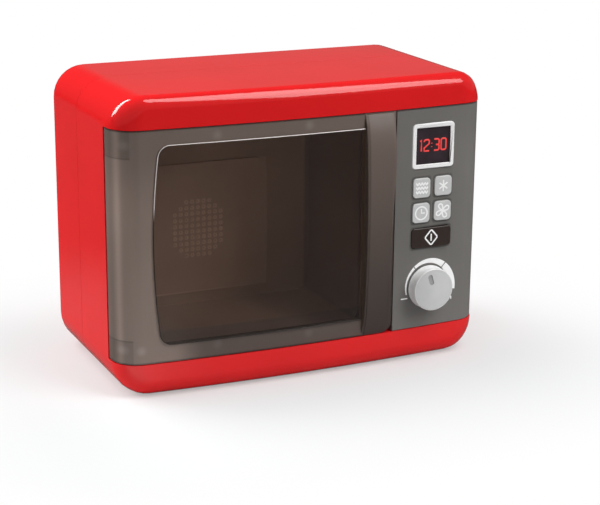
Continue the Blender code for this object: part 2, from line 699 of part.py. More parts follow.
def screw_mesh(name, length):
    """Pan-head screw, head up, with a cross recess; its head's underside is at the origin."""
    crown = SCREW_HEAD_HEIGHT / 2
    profile = [(0, SCREW_HEAD_HEIGHT), (SCREW_HEAD_RADIUS / 2, SCREW_HEAD_HEIGHT),
               (SCREW_HEAD_RADIUS, crown), (SCREW_HEAD_RADIUS, 0), (SCREW_SHANK_RADIUS, 0),
               (SCREW_SHANK_RADIUS, SCREW_TIP - length), (SCREW_SHANK_RADIUS / 2, -length), (0, -length)]
    item = turned(name, profile, "steel", facing="+Z", sides=ROUND_SIDE_COUNT)
    arm = SCREW_HEAD_RADIUS * SCREW_SLOT_SHARE
    half = SCREW_SLOT_WIDTH / 2
    floor = SCREW_HEAD_HEIGHT - SCREW_SLOT_DEPTH
    first = slab(name + "_slot_a", (-arm, -half, floor), (arm, half, SCREW_HEAD_HEIGHT + CUT_OVERRUN))
    second = slab(name + "_slot_b", (-half, -arm, floor), (half, arm, SCREW_HEAD_HEIGHT + CUT_OVERRUN))
    join(first, second)
    cut(item, first)
    mesh = solid_mesh(item)
    bpy.data.objects.remove(first, do_unlink=True)
    bpy.data.objects.remove(second, do_unlink=True)
    return mesh


def put_screw(name, mesh, place_at):
    """Place one screw with its head facing the back."""
    item = bpy.data.objects.new(name, mesh)
    item.location = place_at
    item.rotation_euler = (-math.pi / 2, 0, 0)
    PARTS.objects.link(item)


# Cavity liner

def liner_screw_places():
    """Screws through the rim and the mullion into the liner's flange."""
    left = (LINER_LEFT - HALF_WIDTH + CASE_WALL) / 2
    low, high = SKIN_LOW + LINER_SCREW_MARGIN, SKIN_HIGH - LINER_SCREW_MARGIN
    return [(left, low), (left, high), (CATCH_X, low), (CATCH_X, high)]


def grille_places():
    """Centres of the grille's holes: a grid with its corners clipped."""
    places = []
    for row in range(GRILLE_ROW_COUNT):
        from_end = min(row, GRILLE_ROW_COUNT - 1 - row)
        skip = max(0, GRILLE_CLIP_COUNT - from_end)
        for column in range(skip, GRILLE_COLUMN_COUNT - skip):
            x = GRILLE_X + (column - (GRILLE_COLUMN_COUNT - 1) / 2) * GRILLE_PITCH
            z = GRILLE_Z + (row - (GRILLE_ROW_COUNT - 1) / 2) * GRILLE_PITCH
            places.append((x, z))
    return places


def grille_cutter(front, rear):
    """All the grille's holes as one cutter."""
    bm = bmesh.new()
    turn = Matrix.Rotation(-math.pi / 2, 4, "X")
    for x, z in grille_places():
        middle = Matrix.Translation((x, (front + rear) / 2, z))
        bmesh.ops.create_cone(bm, cap_ends=True, segments=6, radius1=GRILLE_HOLE_RADIUS,
                              radius2=GRILLE_HOLE_RADIUS, depth=rear - front, matrix=middle @ turn)
    return from_bmesh("grille_holes", bm)


def make_liner():
    """Grey oven cavity, open at the front, with a flange, a raised back panel and a sound grille."""
    front, back = FRONT + FLANGE_DEPTH, FRONT + LINER_REAR_DEPTH
    flange_left = CASE_WALL + PART_GAP - HALF_WIDTH
    liner = slab("cavity_liner", (flange_left, front, LINER_LOW),
                 (FLANGE_RIGHT, front + LINER_WALL, VISOR_Z - PART_GAP), "liner_plastic")
    outer_radius = LINER_CORNER_RADIUS
    join(liner, slab("liner_box", (LINER_LEFT, front + LINER_WALL / 2, LINER_LOW),
                     (LINER_RIGHT, back, LINER_HIGH), axis=1, radius=outer_radius,
                     corners=[(-1, 1), (1, 1)]))
    cut(liner, slab("liner_hollow", (CAVITY_LEFT, front - CUT_OVERRUN, CAVITY_LOW),
                    (CAVITY_RIGHT, FRONT + LINER_DEPTH, CAVITY_HIGH), axis=1,
                    radius=outer_radius - LINER_WALL))
    half = BACK_PANEL_WIDTH / 2
    panel_low = CAVITY_LOW + BACK_PANEL_FOOT
    panel_front = FRONT + LINER_DEPTH - BACK_PANEL_RISE
    join(liner, slab("back_panel", (GRILLE_X - half, panel_front, panel_low),
                     (GRILLE_X + half, back - LINER_WALL / 2, panel_low + BACK_PANEL_HEIGHT), axis=1,
                     radius=BACK_PANEL_RADIUS))
    cut(liner, grille_cutter(panel_front - CUT_OVERRUN, back + CUT_OVERRUN))
    cut(liner, catch_slot("flange_catch_slot", front - CUT_OVERRUN, front + LINER_WALL + CUT_OVERRUN))
    cut(liner, rod("lamp_hole", (CAVITY_X, FRONT + LAMP_DEPTH, CAVITY_HIGH - CUT_OVERRUN),
                   LINER_WALL + CUT_OVERRUN * 2, LAMP_RADIUS + PART_GAP, "Z"))
    for index, (x, z) in enumerate(liner_screw_places()):
        cut(liner, rod(f"flange_screw_hole_{index + 1}", (x, front - CUT_OVERRUN, z),
                       LINER_WALL + CUT_OVERRUN * 2, SCREW_SHANK_RADIUS + PART_GAP, "Y"))
    return liner


def make_liner_screws():
    """Four short screws from behind the rim into the liner's flange."""
    mesh = screw_mesh("liner_screw_mesh", LINER_SCREW_LENGTH)
    for index, (x, z) in enumerate(liner_screw_places()):
        put_screw(f"liner_screw_{index + 1}", mesh, (x, FRONT + RIM_REAR_DEPTH + PART_GAP, z))


def make_lamp():
    """Small lamp that pokes through the cavity's ceiling."""
    profile = [(0, LAMP_FLANGE), (LAMP_FLANGE_RADIUS, LAMP_FLANGE), (LAMP_FLANGE_RADIUS, 0),
               (LAMP_RADIUS, 0), (LAMP_RADIUS, LAMP_RADIUS - LAMP_LENGTH),
               (LAMP_RADIUS / 2, LAMP_RADIUS / 4 - LAMP_LENGTH), (0, -LAMP_LENGTH)]
    turned("cavity_lamp", profile, "lamp_plastic", (CAVITY_X, FRONT + LAMP_DEPTH, LINER_HIGH + PART_GAP),
           "+Z", sides=ROUND_SIDE_COUNT)


# Speaker

def make_speaker():
    """Speaker against the back of the grille: basket, paper cone, magnet and retainer ring."""
    seat = (GRILLE_X, FRONT + LINER_REAR_DEPTH + PART_GAP, GRILLE_Z)
    inner = SPEAKER_RADIUS - SPEAKER_RIM
    throat = MAGNET_RADIUS - SPEAKER_RIM / 2
    depth = SPEAKER_CONE_DEPTH + SPEAKER_RIM_THICKNESS
    basket = [(SPEAKER_RADIUS, 0), (SPEAKER_RADIUS, -SPEAKER_RIM_THICKNESS),
              (inner, -SPEAKER_RIM_THICKNESS), (throat + SPEAKER_WALL, -depth), (throat, -depth),
              (inner - SPEAKER_WALL, 0)]
    turned("speaker_basket", basket, "steel", seat, "-Y", ring=True)
    edge, nose = inner - SPEAKER_WALL * 2 - PART_GAP, throat - PART_GAP
    floor = -SPEAKER_CONE_DEPTH
    cone = [(0, floor + SPEAKER_WALL), (nose - SPEAKER_WALL, floor + SPEAKER_WALL),
            (edge - SPEAKER_WALL * 2, 0), (edge, 0), (nose, floor), (0, floor - SPEAKER_WALL / 2)]
    turned("speaker_cone", cone, "speaker_paper", seat, "-Y")
    top, end = -depth - PART_GAP, -depth - PART_GAP - MAGNET_HEIGHT
    magnet = [(0, top), (MAGNET_RADIUS, top), (MAGNET_RADIUS, end), (0, end)]
    turned("speaker_magnet", magnet, "steel", seat, "-Y")
    rim = SPEAKER_RADIUS + PART_GAP
    shelf = -SPEAKER_RIM_THICKNESS - PART_GAP
    lip = inner + SPEAKER_RIM / 2
    retainer = [(rim + RETAINER_WIDTH, 0), (rim + RETAINER_WIDTH, shelf - RETAINER_CAP),
                (lip, shelf - RETAINER_CAP), (lip, shelf), (rim, shelf), (rim, 0)]
    turned("speaker_retainer", retainer, "dark_plastic", seat, "-Y", ring=True)


# Door

def door_blank(name, finish):
    """Front skin left of the split, wrapped round the left corner, one lower corner rounded."""
    door = casing_form(name, SKIN_SET, rear_y=FRONT + PARTING_DEPTH, finish=finish)
    keep_inside(door, slab(name + "_span", (-CASE_WIDTH, FRONT - CUT_OVERRUN, SKIN_LOW),
                           (SPLIT_X, FRONT + DOOR_WRAP, SKIN_HIGH), axis=1,
                           radius=DOOR_CORNER_RADIUS, corners=[(1, -1)]))
    cut(door, casing_form(name + "_hollow", SKIN_BACK, rear_y=FRONT + PARTING_DEPTH + CUT_OVERRUN))
    return door


def window_outline(spare):
    """Outline of the window in x and z, bowed on its left and square on its right."""
    low, high = WINDOW_LOW - spare, WINDOW_HIGH + spare
    left, right = WINDOW_LEFT - spare, WINDOW_RIGHT + spare
    radius = WINDOW_CORNER_RADIUS
    turn = math.pi / 2 / WINDOW_TURN_STEPS
    points = [(right, low), (right, high)]
    for step in range(WINDOW_TURN_STEPS + 1):
        angle = math.pi / 2 + turn * step
        points.append((left + radius * (1 + math.cos(angle)), high - radius * (1 - math.sin(angle))))
    for step in range(1, WINDOW_SIDE_STEPS):
        points.append((left, high - radius - (high - low - 2 * radius) * step / WINDOW_SIDE_STEPS))
    for step in range(WINDOW_TURN_STEPS + 1):
        angle = math.pi + turn * step
        points.append((left + radius * (1 + math.cos(angle)), low + radius * (1 + math.sin(angle))))
    middle, half = (low + high) / 2, (high - low) / 2
    bows = [WINDOW_BOW * ((z - middle) / half) ** 2 * (right - x) / (right - left) for x, z in points]
    return [(x + bow, z) for (x, z), bow in zip(points, bows)]


def window_prism(name, spare=0):
    """The window's outline run through the front of the casing."""
    bm = bmesh.new()
    face = bm.faces.new([bm.verts.new((x, FRONT - CUT_OVERRUN, z)) for x, z in window_outline(spare)])
    grown = bmesh.ops.extrude_face_region(bm, geom=[face])
    far = [item for item in grown["geom"] if isinstance(item, bmesh.types.BMVert)]
    bmesh.ops.translate(bm, verts=far, vec=(0, DOOR_WRAP + CUT_OVERRUN * 2, 0))
    bmesh.ops.recalc_face_normals(bm, faces=bm.faces)
    return from_bmesh(name, bm, smooth=True)


def add_window(door):
    """The clear window stands a little proud of the frosted frame."""
    window = casing_form("window_raise", SKIN_SET - WINDOW_RISE, rear_y=FRONT + PARTING_DEPTH)
    keep_inside(window, window_prism("window_span"))
    cut(window, casing_form("window_hollow", SKIN_SET + SKIN_WALL / 2,
                            rear_y=FRONT + PARTING_DEPTH + CUT_OVERRUN))
    join(door, window)


def handle_section(share, low, high):
    """One level of the handle bar: its plan outline between the window and the split."""
    left_rise = HANDLE_LEAST_RISE + HANDLE_RISE * math.sin(math.pi * share) ** HANDLE_LEFT_POWER
    right_rise = HANDLE_LEAST_RISE + HANDLE_RISE * math.sin(math.pi * share ** HANDLE_RIGHT_POWER)
    left_x = HANDLE_LEFT + HANDLE_LEAN_SHARE * left_rise
    right_x = HANDLE_RIGHT - HANDLE_LEAN_SHARE * right_rise / 2
    z = low + (high - low) * share
    left_top = Vector((left_x, skin_y(left_x) - left_rise))
    right_top = Vector((right_x, skin_y(right_x) - right_rise))
    left_foot = Vector((HANDLE_LEFT, skin_y(HANDLE_LEFT, HANDLE_EMBED)))
    right_foot = Vector((HANDLE_RIGHT, skin_y(HANDLE_RIGHT, HANDLE_EMBED)))
    outline = [left_foot] + rounded_turn(left_foot, left_top, right_top)
    outline += rounded_turn(left_top, right_top, right_foot) + [right_foot]
    return [(point.x, point.y, z) for point in outline]


def rounded_turn(before, corner, after):
    """Points of a soft corner between two straight runs."""
    points = []
    near_share, far_share = HANDLE_TURN_SHARES
    first = corner + (before - corner) * min(near_share, HANDLE_ROUNDING / (before - corner).length)
    last = corner + (after - corner) * min(far_share, HANDLE_ROUNDING / (after - corner).length)
    for step in range(HANDLE_TURN_STEPS + 1):
        share = step / HANDLE_TURN_STEPS
        points.append(first * (1 - share) ** 2 + corner * 2 * share * (1 - share) + last * share ** 2)
    return points


def add_handle(door):
    """Grip bar down the door's free edge: proud on its left, twisting flat towards the bottom."""
    low, high = SKIN_LOW + HANDLE_LOW_MARGIN, SKIN_HIGH - HANDLE_TOP_MARGIN
    bm = bmesh.new()
    loops = []
    for step in range(HANDLE_STEPS + 1):
        section = handle_section(step / HANDLE_STEPS, low, high)
        loops.append([bm.verts.new(point) for point in section])
    count = len(loops[0])
    for near, far in zip(loops, loops[1:]):
        for i in range(count):
            j = (i + 1) % count
            bm.faces.new((near[i], near[j], far[j], far[i]))
    bm.faces.new(loops[0])
    bm.faces.new(loops[-1])
    bmesh.ops.recalc_face_normals(bm, faces=bm.faces)
    handle = from_bmesh("handle_bar", bm, smooth=True)
    keep_inside(handle, slab("handle_span", (HANDLE_LEFT - CUT_OVERRUN, FRONT - CASE_DEPTH,
                                             SKIN_LOW + HANDLE_SETBACK),
                             (SPLIT_X - HANDLE_SETBACK, FRONT + DOOR_WRAP, SKIN_HIGH), axis=1,
                             radius=DOOR_CORNER_RADIUS, corners=[(1, -1)]))
    join(door, handle)


def peg_places():
    """Pegs on the door's back that carry the inner frame."""
    low = (SKIN_LOW + WINDOW_LOW) / 2
    high = (SKIN_HIGH + WINDOW_HIGH) / 2
    span = WINDOW_RIGHT - WINDOW_LEFT
    bar = (HANDLE_LEFT + HANDLE_RIGHT) / 2
    quarter = (WINDOW_HIGH - WINDOW_LOW) / 4
    places = [(WINDOW_LEFT + span * share, z) for share in PEG_SHARES for z in (low, high)]
    return places + [(bar, WINDOW_LOW + quarter), (bar, WINDOW_HIGH - quarter)]


def block_peg_place(upper):
    """Where a peg of the door enters a hinge block."""
    reach = HINGE_BLOCK_HEIGHT * (1 - BLOCK_PEG_SHARE)
    return BLOCK_PEG_INSET - HALF_WIDTH, SKIN_HIGH - reach if upper else SKIN_LOW + reach


def make_door_shell():
    """Smoky front shell of the door with its raised window, handle and pegs."""
    door = door_blank("door_shell", "smoky_plastic")
    add_window(door)
    add_handle(door)
    tail = INNER_FRAME_STANDOFF + INNER_FRAME_WALL + PEG_TAIL + SKIN_WALL / 2
    for index, (x, z) in enumerate(peg_places()):
        join(door, rod(f"door_peg_{index + 1}", (x, skin_y(x, SKIN_WALL / 2), z), tail, PEG_RADIUS, "Y"))
    for name, upper in (("upper_block_peg", True), ("lower_block_peg", False)):
        x, z = block_peg_place(upper)
        join(door, rod(name, (x, corner_y(x - PEG_RADIUS, SKIN_BACK - SKIN_WALL / 2), z), BLOCK_PEG_LENGTH,
                       PEG_RADIUS, "Y"))
    return door


def corner_y(x, inset):
    """Y of the casing form at an inset where the front turns into the side wall."""
    radius = FRONT_SIDE_RADIUS - inset
    across = abs(x) - (HALF_WIDTH - FRONT_SIDE_RADIUS)
    bow = FRONT_BOW * (x / HALF_WIDTH) ** 2
    drop = radius - math.sqrt(radius ** 2 - max(0, across) ** 2)
    return FRONT + inset + drop + bow


def make_inner_frame():
    """Flat frame behind the door shell that stiffens it round the window."""
    near = SKIN_BACK + INNER_FRAME_STANDOFF
    frame = casing_form("door_inner_frame", near, rear_y=FRONT + PARTING_DEPTH, finish="smoky_plastic")
    left = HINGE_BLOCK_WIDTH + SKIN_BACK + PART_GAP * 2 - HALF_WIDTH
    keep_inside(frame, slab("inner_frame_span", (left, FRONT - CUT_OVERRUN, SKIN_LOW + INNER_FRAME_MARGIN),
                            (HANDLE_RIGHT, FRONT + DOOR_WRAP, SKIN_HIGH - INNER_FRAME_MARGIN)))
    cut(frame, casing_form("inner_frame_hollow", near + INNER_FRAME_WALL,
                           rear_y=FRONT + PARTING_DEPTH + CUT_OVERRUN))
    cut(frame, window_prism("inner_frame_window", INNER_FRAME_WINDOW_GAP))
    for index, (x, z) in enumerate(peg_places()):
        cut(frame, rod(f"inner_frame_hole_{index + 1}", (x, FRONT, z), DOOR_WRAP,
                       PEG_RADIUS + PART_GAP, "Y"))
    return frame


def make_hinge_block(upper):
    """Corner block behind the door shell that grips a hinge pin."""
    name = "upper_hinge_block" if upper else "lower_hinge_block"
    low = SKIN_HIGH - HINGE_BLOCK_HEIGHT if upper else SKIN_LOW
    block = casing_form(name, SKIN_BACK + PART_GAP, rear_y=FRONT + PARTING_DEPTH, finish="dark_plastic")
    keep_inside(block, slab(name + "_span", (-CASE_WIDTH, FRONT - CUT_OVERRUN, low),
                            (HINGE_BLOCK_WIDTH + SKIN_BACK - HALF_WIDTH, FRONT + HINGE_BLOCK_REAR,
                             low + HINGE_BLOCK_HEIGHT)))
    bore = HINGE_PIN_GRIP + PART_GAP
    start = low + HINGE_BLOCK_HEIGHT - bore if upper else low - CUT_OVERRUN
    cut(block, rod(name + "_bore", (HINGE_X, HINGE_Y, start), bore + CUT_OVERRUN,
                   HINGE_PIN_RADIUS + PART_GAP, "Z"))
    x, z = block_peg_place(upper)
    depth = corner_y(x - PEG_RADIUS, SKIN_BACK) + BLOCK_PEG_LENGTH - FRONT
    cut(block, rod(name + "_peg_hole", (x, FRONT, z), depth, PEG_RADIUS + PART_GAP, "Y"))
    return block


def make_hinge_pin(upper):
    """Steel pin from a hinge block into the casing's socket."""
    length = HINGE_PIN_GRIP + SKIN_END_GAP + HINGE_PIN_REACH
    start = SKIN_HIGH - HINGE_PIN_GRIP if upper else LIP_HEIGHT - HINGE_PIN_REACH
    name = "upper_hinge_pin" if upper else "lower_hinge_pin"
    return rod(name, (HINGE_X, HINGE_Y, start), length, HINGE_PIN_RADIUS, "Z", "steel")


def catch_slot(name, front, rear):
    """Cutter for the slot that the door's catch passes through."""
    half = CATCH_THICKNESS / 2
    tall = CATCH_HALF_HEIGHT + CLIP_OVERHANG
    return slab(name, (CATCH_X - half - PART_GAP * 2, front, CATCH_Z - tall),
                (CATCH_X + half + CATCH_SLOT_SPARE, rear, CATCH_Z + tall))


def make_catch():
    """Tongue on the door's inner frame, and the clip behind the mullion that holds it."""
    half = CATCH_THICKNESS / 2
    behind = SKIN_WALL + INNER_FRAME_STANDOFF + INNER_FRAME_WALL + PART_GAP
    start = skin_y(CATCH_X + CATCH_THICKNESS * 2, behind)
    foot = CATCH_HALF_HEIGHT + CLIP_OVERHANG * 2
    catch = slab("door_catch", (CATCH_X - half, start, CATCH_Z - CATCH_HALF_HEIGHT),
                 (CATCH_X + half, FRONT + CATCH_TIP_DEPTH, CATCH_Z + CATCH_HALF_HEIGHT), "dark_plastic",
                 axis=0, radius=CATCH_THICKNESS, corners=[(1, -1), (1, 1)])
    join(catch, slab("catch_foot", (CATCH_X - CATCH_THICKNESS * 2, start, CATCH_Z - foot),
                     (CATCH_X + CATCH_THICKNESS * 2, start + CATCH_THICKNESS, CATCH_Z + foot)))
    front = FRONT + RIM_REAR_DEPTH + PART_GAP
    inner = CATCH_HALF_HEIGHT + PART_GAP
    tip = FRONT + CATCH_TIP_DEPTH + PART_GAP
    left, right = CATCH_X - half - CLIP_WALL, CATCH_X + half + CATCH_SLOT_SPARE
    clip = slab("catch_clip", (left, front, CATCH_Z - inner - CLIP_WALL),
                (right, tip + CLIP_TAIL, CATCH_Z + inner + CLIP_WALL), "dark_plastic")
    cut(clip, slab("clip_throat", (left - CUT_OVERRUN, front - CUT_OVERRUN, CATCH_Z - inner),
                   (right + CUT_OVERRUN, tip, CATCH_Z + inner)))


# Control panel

def key_places():
    """Name and centre of each small key."""
    return [("waves_key", KEY_LEFT_X, KEY_TOP_Z), ("defrost_key", KEY_RIGHT_X, KEY_TOP_Z),
            ("clock_key", KEY_LEFT_X, KEY_LOW_Z), ("fan_key", KEY_RIGHT_X, KEY_LOW_Z)]


def key_plane():
    """Y of the common plane where the keys' flanges meet the back of the panel."""
    return skin_y(PANEL_AXIS_X + KEYS_REACH, SKIN_WALL) + PART_GAP


def board_y():
    """Y of the board's front face, behind keys, travel, domes and mat."""
    stack = KEY_FLANGE + STEM_LENGTH + KEY_TRAVEL + PART_GAP + DOME_HEIGHT + MAT_THICKNESS + PART_GAP
    return key_plane() + stack


def board_boss_places():
    """Bosses of the panel that carry the board."""
    reach = KEYS_REACH + BOARD_BOSS_GAP + BOARD_BOSS_RADIUS
    low, high = START_Z - START_HEIGHT / 2 + BOARD_BOSS_RADIUS, DISPLAY_Z
    return [(PANEL_AXIS_X + side * reach, z) for z in (low, high) for side in (-1, 1)]


def panel_post_places():
    """Posts of the panel: two screwed to the mullion, two resting on the right rim."""
    left = PANEL_LEFT + PANEL_POST_INSET
    right = HALF_WIDTH - SKIN_BACK - PANEL_POST_INSET
    low, high = SKIN_LOW + PANEL_POST_MARGIN, SKIN_HIGH - PANEL_POST_MARGIN
    return [(left, low), (left, high), (right, low), (right, high)]


def make_panel():
    """Satin grey panel right of the split, wrapped round the right corner."""
    panel = casing_form("control_panel", SKIN_SET, rear_y=FRONT + PARTING_DEPTH,
                        finish="grey_panel_plastic")
    keep_inside(panel, slab("panel_span", (PANEL_LEFT, FRONT - CUT_OVERRUN, SKIN_LOW),
                            (CASE_WIDTH, FRONT + NOTCH_DEPTH - PART_GAP, SKIN_HIGH)))
    hollow = casing_form("panel_hollow", SKIN_BACK, rear_y=FRONT + PARTING_DEPTH + CUT_OVERRUN)
    keep_inside(hollow, slab("panel_hollow_span", (PANEL_LEFT + PANEL_RETURN_WALL, FRONT - CUT_OVERRUN, 0),
                             (CASE_WIDTH, REAR, CASE_HEIGHT)))
    cut(panel, hollow)
    seat_y = knob_seat_y()
    join(panel, rod("knob_seat", (KNOB_X, seat_y, KNOB_Z), skin_y(KNOB_X, SKIN_WALL / 2) - seat_y,
                    KNOB_SEAT_RADIUS, "Y", sides=KNOB_SIDE_COUNT))
    rear = FRONT + RIM_DEPTH - PART_GAP
    for index, (x, z) in enumerate(panel_post_places()):
        start = corner_y(x + PANEL_POST_RADIUS, SKIN_BACK - SKIN_WALL / 2)
        join(panel, rod(f"panel_post_{index + 1}", (x, start, z), rear - start, PANEL_POST_RADIUS, "Y"))
    for index, (x, z) in enumerate(board_boss_places()):
        start = skin_y(x, SKIN_WALL / 2)
        join(panel, rod(f"board_boss_{index + 1}", (x, start, z), board_y() - PART_GAP - start,
                        BOARD_BOSS_RADIUS, "Y"))
    cut_panel_holes(panel)
    return panel


def cut_panel_holes(panel):
    """Openings for the keys, the display and the shaft, and pilot holes for screws."""
    front, rear = FRONT - CUT_OVERRUN, FRONT + NOTCH_DEPTH / 2
    for name, x, z in key_places():
        cut(panel, opening(name + "_hole", x, z, KEY_WIDTH, KEY_HEIGHT, KEY_CORNER, front, rear))
    cut(panel, opening("start_key_hole", PANEL_AXIS_X, START_Z, START_WIDTH, START_HEIGHT, KEY_CORNER,
                       front, rear))
    cut(panel, opening("display_hole", PANEL_AXIS_X, DISPLAY_Z, DISPLAY_WIDTH, DISPLAY_HEIGHT,
                       DISPLAY_CORNER, front, rear))
    cut(panel, rod("shaft_hole", (KNOB_X, front, KNOB_Z), rear - front, SHAFT_RADIUS + PART_GAP, "Y"))
    back = FRONT + RIM_DEPTH
    for index, (x, z) in enumerate(panel_post_places()[:2]):
        length = SCREW_LENGTH - CASE_WALL
        cut(panel, rod(f"panel_pilot_{index + 1}", (x, back - length, z), length + CUT_OVERRUN,
                       SCREW_SHANK_RADIUS + PART_GAP, "Y"))
    for index, (x, z) in enumerate(board_boss_places()[:2]):
        length = BOARD_SCREW_LENGTH
        cut(panel, rod(f"board_pilot_{index + 1}", (x, board_y() - length, z), length + CUT_OVERRUN,
                       SCREW_SHANK_RADIUS + PART_GAP, "Y"))


def opening(name, x, z, width, height, corner, front, rear):
    """Cutter for a rounded opening with the keys' running clearance."""
    across, up = width / 2 + KEY_CLEARANCE, height / 2 + KEY_CLEARANCE
    return slab(name, (x - across, front, z - up), (x + across, rear, z + up), axis=1,
                radius=corner + KEY_CLEARANCE)


def make_key(name, x, z, width, height, finish):
    """Push key: cap through the panel, retaining flange and a stem behind it."""
    plane = key_plane()
    front = skin_y(x) - KEY_PROUD
    across, up = width / 2, height / 2
    key = slab(name, (x - across, front, z - up), (x + across, plane + KEY_FLANGE / 2, z + up), finish,
               axis=1, radius=KEY_CORNER, edge=KEY_EDGE)
    join(key, slab(name + "_flange", (x - across - KEY_LIP, plane, z - up - KEY_LIP),
                   (x + across + KEY_LIP, plane + KEY_FLANGE, z + up + KEY_LIP)))
    join(key, rod(name + "_stem", (x, plane + KEY_FLANGE / 2, z), KEY_FLANGE / 2 + STEM_LENGTH,
                  STEM_RADIUS, "Y"))
    move_origin(key, (x, plane, z))


def make_keys():
    """Four small keys and the wide start key."""
    for name, x, z in key_places():
        make_key(name, x, z, KEY_WIDTH, KEY_HEIGHT, "key_plastic")
    make_key("start_key", PANEL_AXIS_X, START_Z, START_WIDTH, START_HEIGHT, "start_key_plastic")


def make_display():
    """White frame through the panel with a black screen seated behind its lip."""
    x, z = PANEL_AXIS_X, DISPLAY_Z
    across, up = DISPLAY_WIDTH / 2, DISPLAY_HEIGHT / 2
    front = skin_y(x) - DISPLAY_PROUD
    plane = key_plane()
    frame = slab("display_frame", (x - across, front, z - up), (x + across, plane + KEY_FLANGE / 2, z + up),
                 "white_plastic", axis=1, radius=DISPLAY_CORNER, edge=KEY_EDGE)
    join(frame, slab("display_flange", (x - across - KEY_LIP, plane, z - up - KEY_LIP),
                     (x + across + KEY_LIP, plane + KEY_FLANGE, z + up + KEY_LIP)))
    inner_x, inner_z = across - DISPLAY_BORDER, up - DISPLAY_BORDER
    cut(frame, slab("display_window", (x - inner_x, front - CUT_OVERRUN, z - inner_z),
                    (x + inner_x, plane + CUT_OVERRUN, z + inner_z)))
    pocket_x, pocket_z = inner_x + DISPLAY_LIP + PART_GAP, inner_z + DISPLAY_LIP + PART_GAP
    cut(frame, slab("display_pocket", (x - pocket_x, front + SCREEN_SEAT, z - pocket_z),
                    (x + pocket_x, plane + KEY_FLANGE + CUT_OVERRUN, z + pocket_z)))
    seat = front + SCREEN_SEAT + PART_GAP
    slab("display_screen", (x - inner_x - DISPLAY_LIP, seat, z - inner_z - DISPLAY_LIP),
         (x + inner_x + DISPLAY_LIP, seat + SCREEN_THICKNESS, z + inner_z + DISPLAY_LIP), "screen_plastic")


def make_mat_and_board():
    """Rubber mat with a dome under each key, on the board that reads them."""
    mat_back = board_y() - PART_GAP
    mat_front = mat_back - MAT_THICKNESS
    reach = KEYS_REACH - KEY_LIP
    mat = slab("key_mat", (PANEL_AXIS_X - reach, mat_front, START_Z - START_HEIGHT / 2),
               (PANEL_AXIS_X + reach, mat_back, KEY_TOP_Z + KEY_HEIGHT / 2), "mat_rubber", axis=1,
               radius=KEY_CORNER)
    for name, x, z in key_places() + [("start_key", PANEL_AXIS_X, START_Z)]:
        join(mat, rod(name + "_dome", (x, mat_front - DOME_HEIGHT, z), DOME_HEIGHT + MAT_THICKNESS / 2,
                      STEM_RADIUS, "Y", tip_radius=DOME_RADIUS))
    reach = KEYS_REACH + BOARD_BOSS_GAP + BOARD_BOSS_RADIUS * 2 + BOARD_MARGIN / 2
    low = board_boss_places()[0][1] - BOARD_BOSS_RADIUS - BOARD_MARGIN
    high = board_boss_places()[2][1] + BOARD_BOSS_RADIUS + BOARD_MARGIN
    board = slab("key_board", (PANEL_AXIS_X - reach, board_y(), low),
                 (PANEL_AXIS_X + reach, board_y() + BOARD_THICKNESS, high), "board_laminate")
    for index, (x, z) in enumerate(board_boss_places()[:2]):
        cut(board, rod(f"board_hole_{index + 1}", (x, board_y() - CUT_OVERRUN, z),
                       BOARD_THICKNESS + CUT_OVERRUN * 2, SCREW_SHANK_RADIUS + PART_GAP, "Y"))
    chip_y = board_y() + BOARD_THICKNESS + PART_GAP
    slab("sound_chip", (PANEL_AXIS_X - CHIP_SIZE / 2, chip_y, KEY_LOW_Z - CHIP_SIZE / 2),
         (PANEL_AXIS_X + CHIP_SIZE / 2, chip_y + CHIP_HEIGHT, KEY_LOW_Z + CHIP_SIZE / 2), "dark_plastic")


def make_panel_screws():
    """Two screws through the mullion into the panel and two that hold the board."""
    mesh = screw_mesh("panel_screw_mesh", SCREW_LENGTH)
    for index, (x, z) in enumerate(panel_post_places()[:2]):
        put_screw(f"panel_screw_{index + 1}", mesh, (x, FRONT + RIM_REAR_DEPTH + PART_GAP, z))
    mesh = screw_mesh("board_screw_mesh", BOARD_SCREW_LENGTH)
    for index, (x, z) in enumerate(board_boss_places()[:2]):
        put_screw(f"board_screw_{index + 1}", mesh, (x, board_y() + BOARD_THICKNESS + PART_GAP, z))


# Timer knob

def knob_seat_y():
    """Y of the flat seat on the panel that the knob turns over."""
    return skin_y(KNOB_X - KNOB_SEAT_RADIUS) - KNOB_SEAT_RISE


def make_knob():
    """Silver knob with a sloped side, a dished face and a pointer groove."""
    base = knob_seat_y() - KNOB_GAP
    soft = KNOB_EDGE * (1 - math.sqrt(0.5))
    profile = [(0, KNOB_HEIGHT - KNOB_DISH), (KNOB_FACE_RADIUS / 2, KNOB_HEIGHT - KNOB_DISH),
               (KNOB_FACE_RADIUS - KNOB_EDGE, KNOB_HEIGHT), (KNOB_FACE_RADIUS - soft, KNOB_HEIGHT - soft),
               (KNOB_FACE_RADIUS, KNOB_HEIGHT - KNOB_EDGE), (KNOB_RADIUS, 0), (0, 0)]
    knob = turned("timer_knob", profile, "knob_plastic", (KNOB_X, base, KNOB_Z), "-Y",
                  sides=KNOB_SIDE_COUNT)
    face = base - KNOB_HEIGHT
    half, end = KNOB_SLOT_WIDTH / 2, KNOB_FACE_RADIUS - KNOB_SLOT_END_GAP
    groove = slab("pointer_groove", (-half, face - CUT_OVERRUN, KNOB_SLOT_INNER),
                  (half, face + KNOB_SLOT_DEPTH, end), axis=1, radius=KNOB_SLOT_ROUND)
    groove.location = (KNOB_X, 0, KNOB_Z)
    groove.rotation_euler = (0, KNOB_POINTER_TURN, 0)
    cut(knob, groove)
    cut(knob, rod("shaft_socket", (KNOB_X, base - SHAFT_SOCKET - PART_GAP, KNOB_Z),
                  SHAFT_SOCKET + PART_GAP + CUT_OVERRUN, SHAFT_RADIUS + PART_GAP, "Y"))


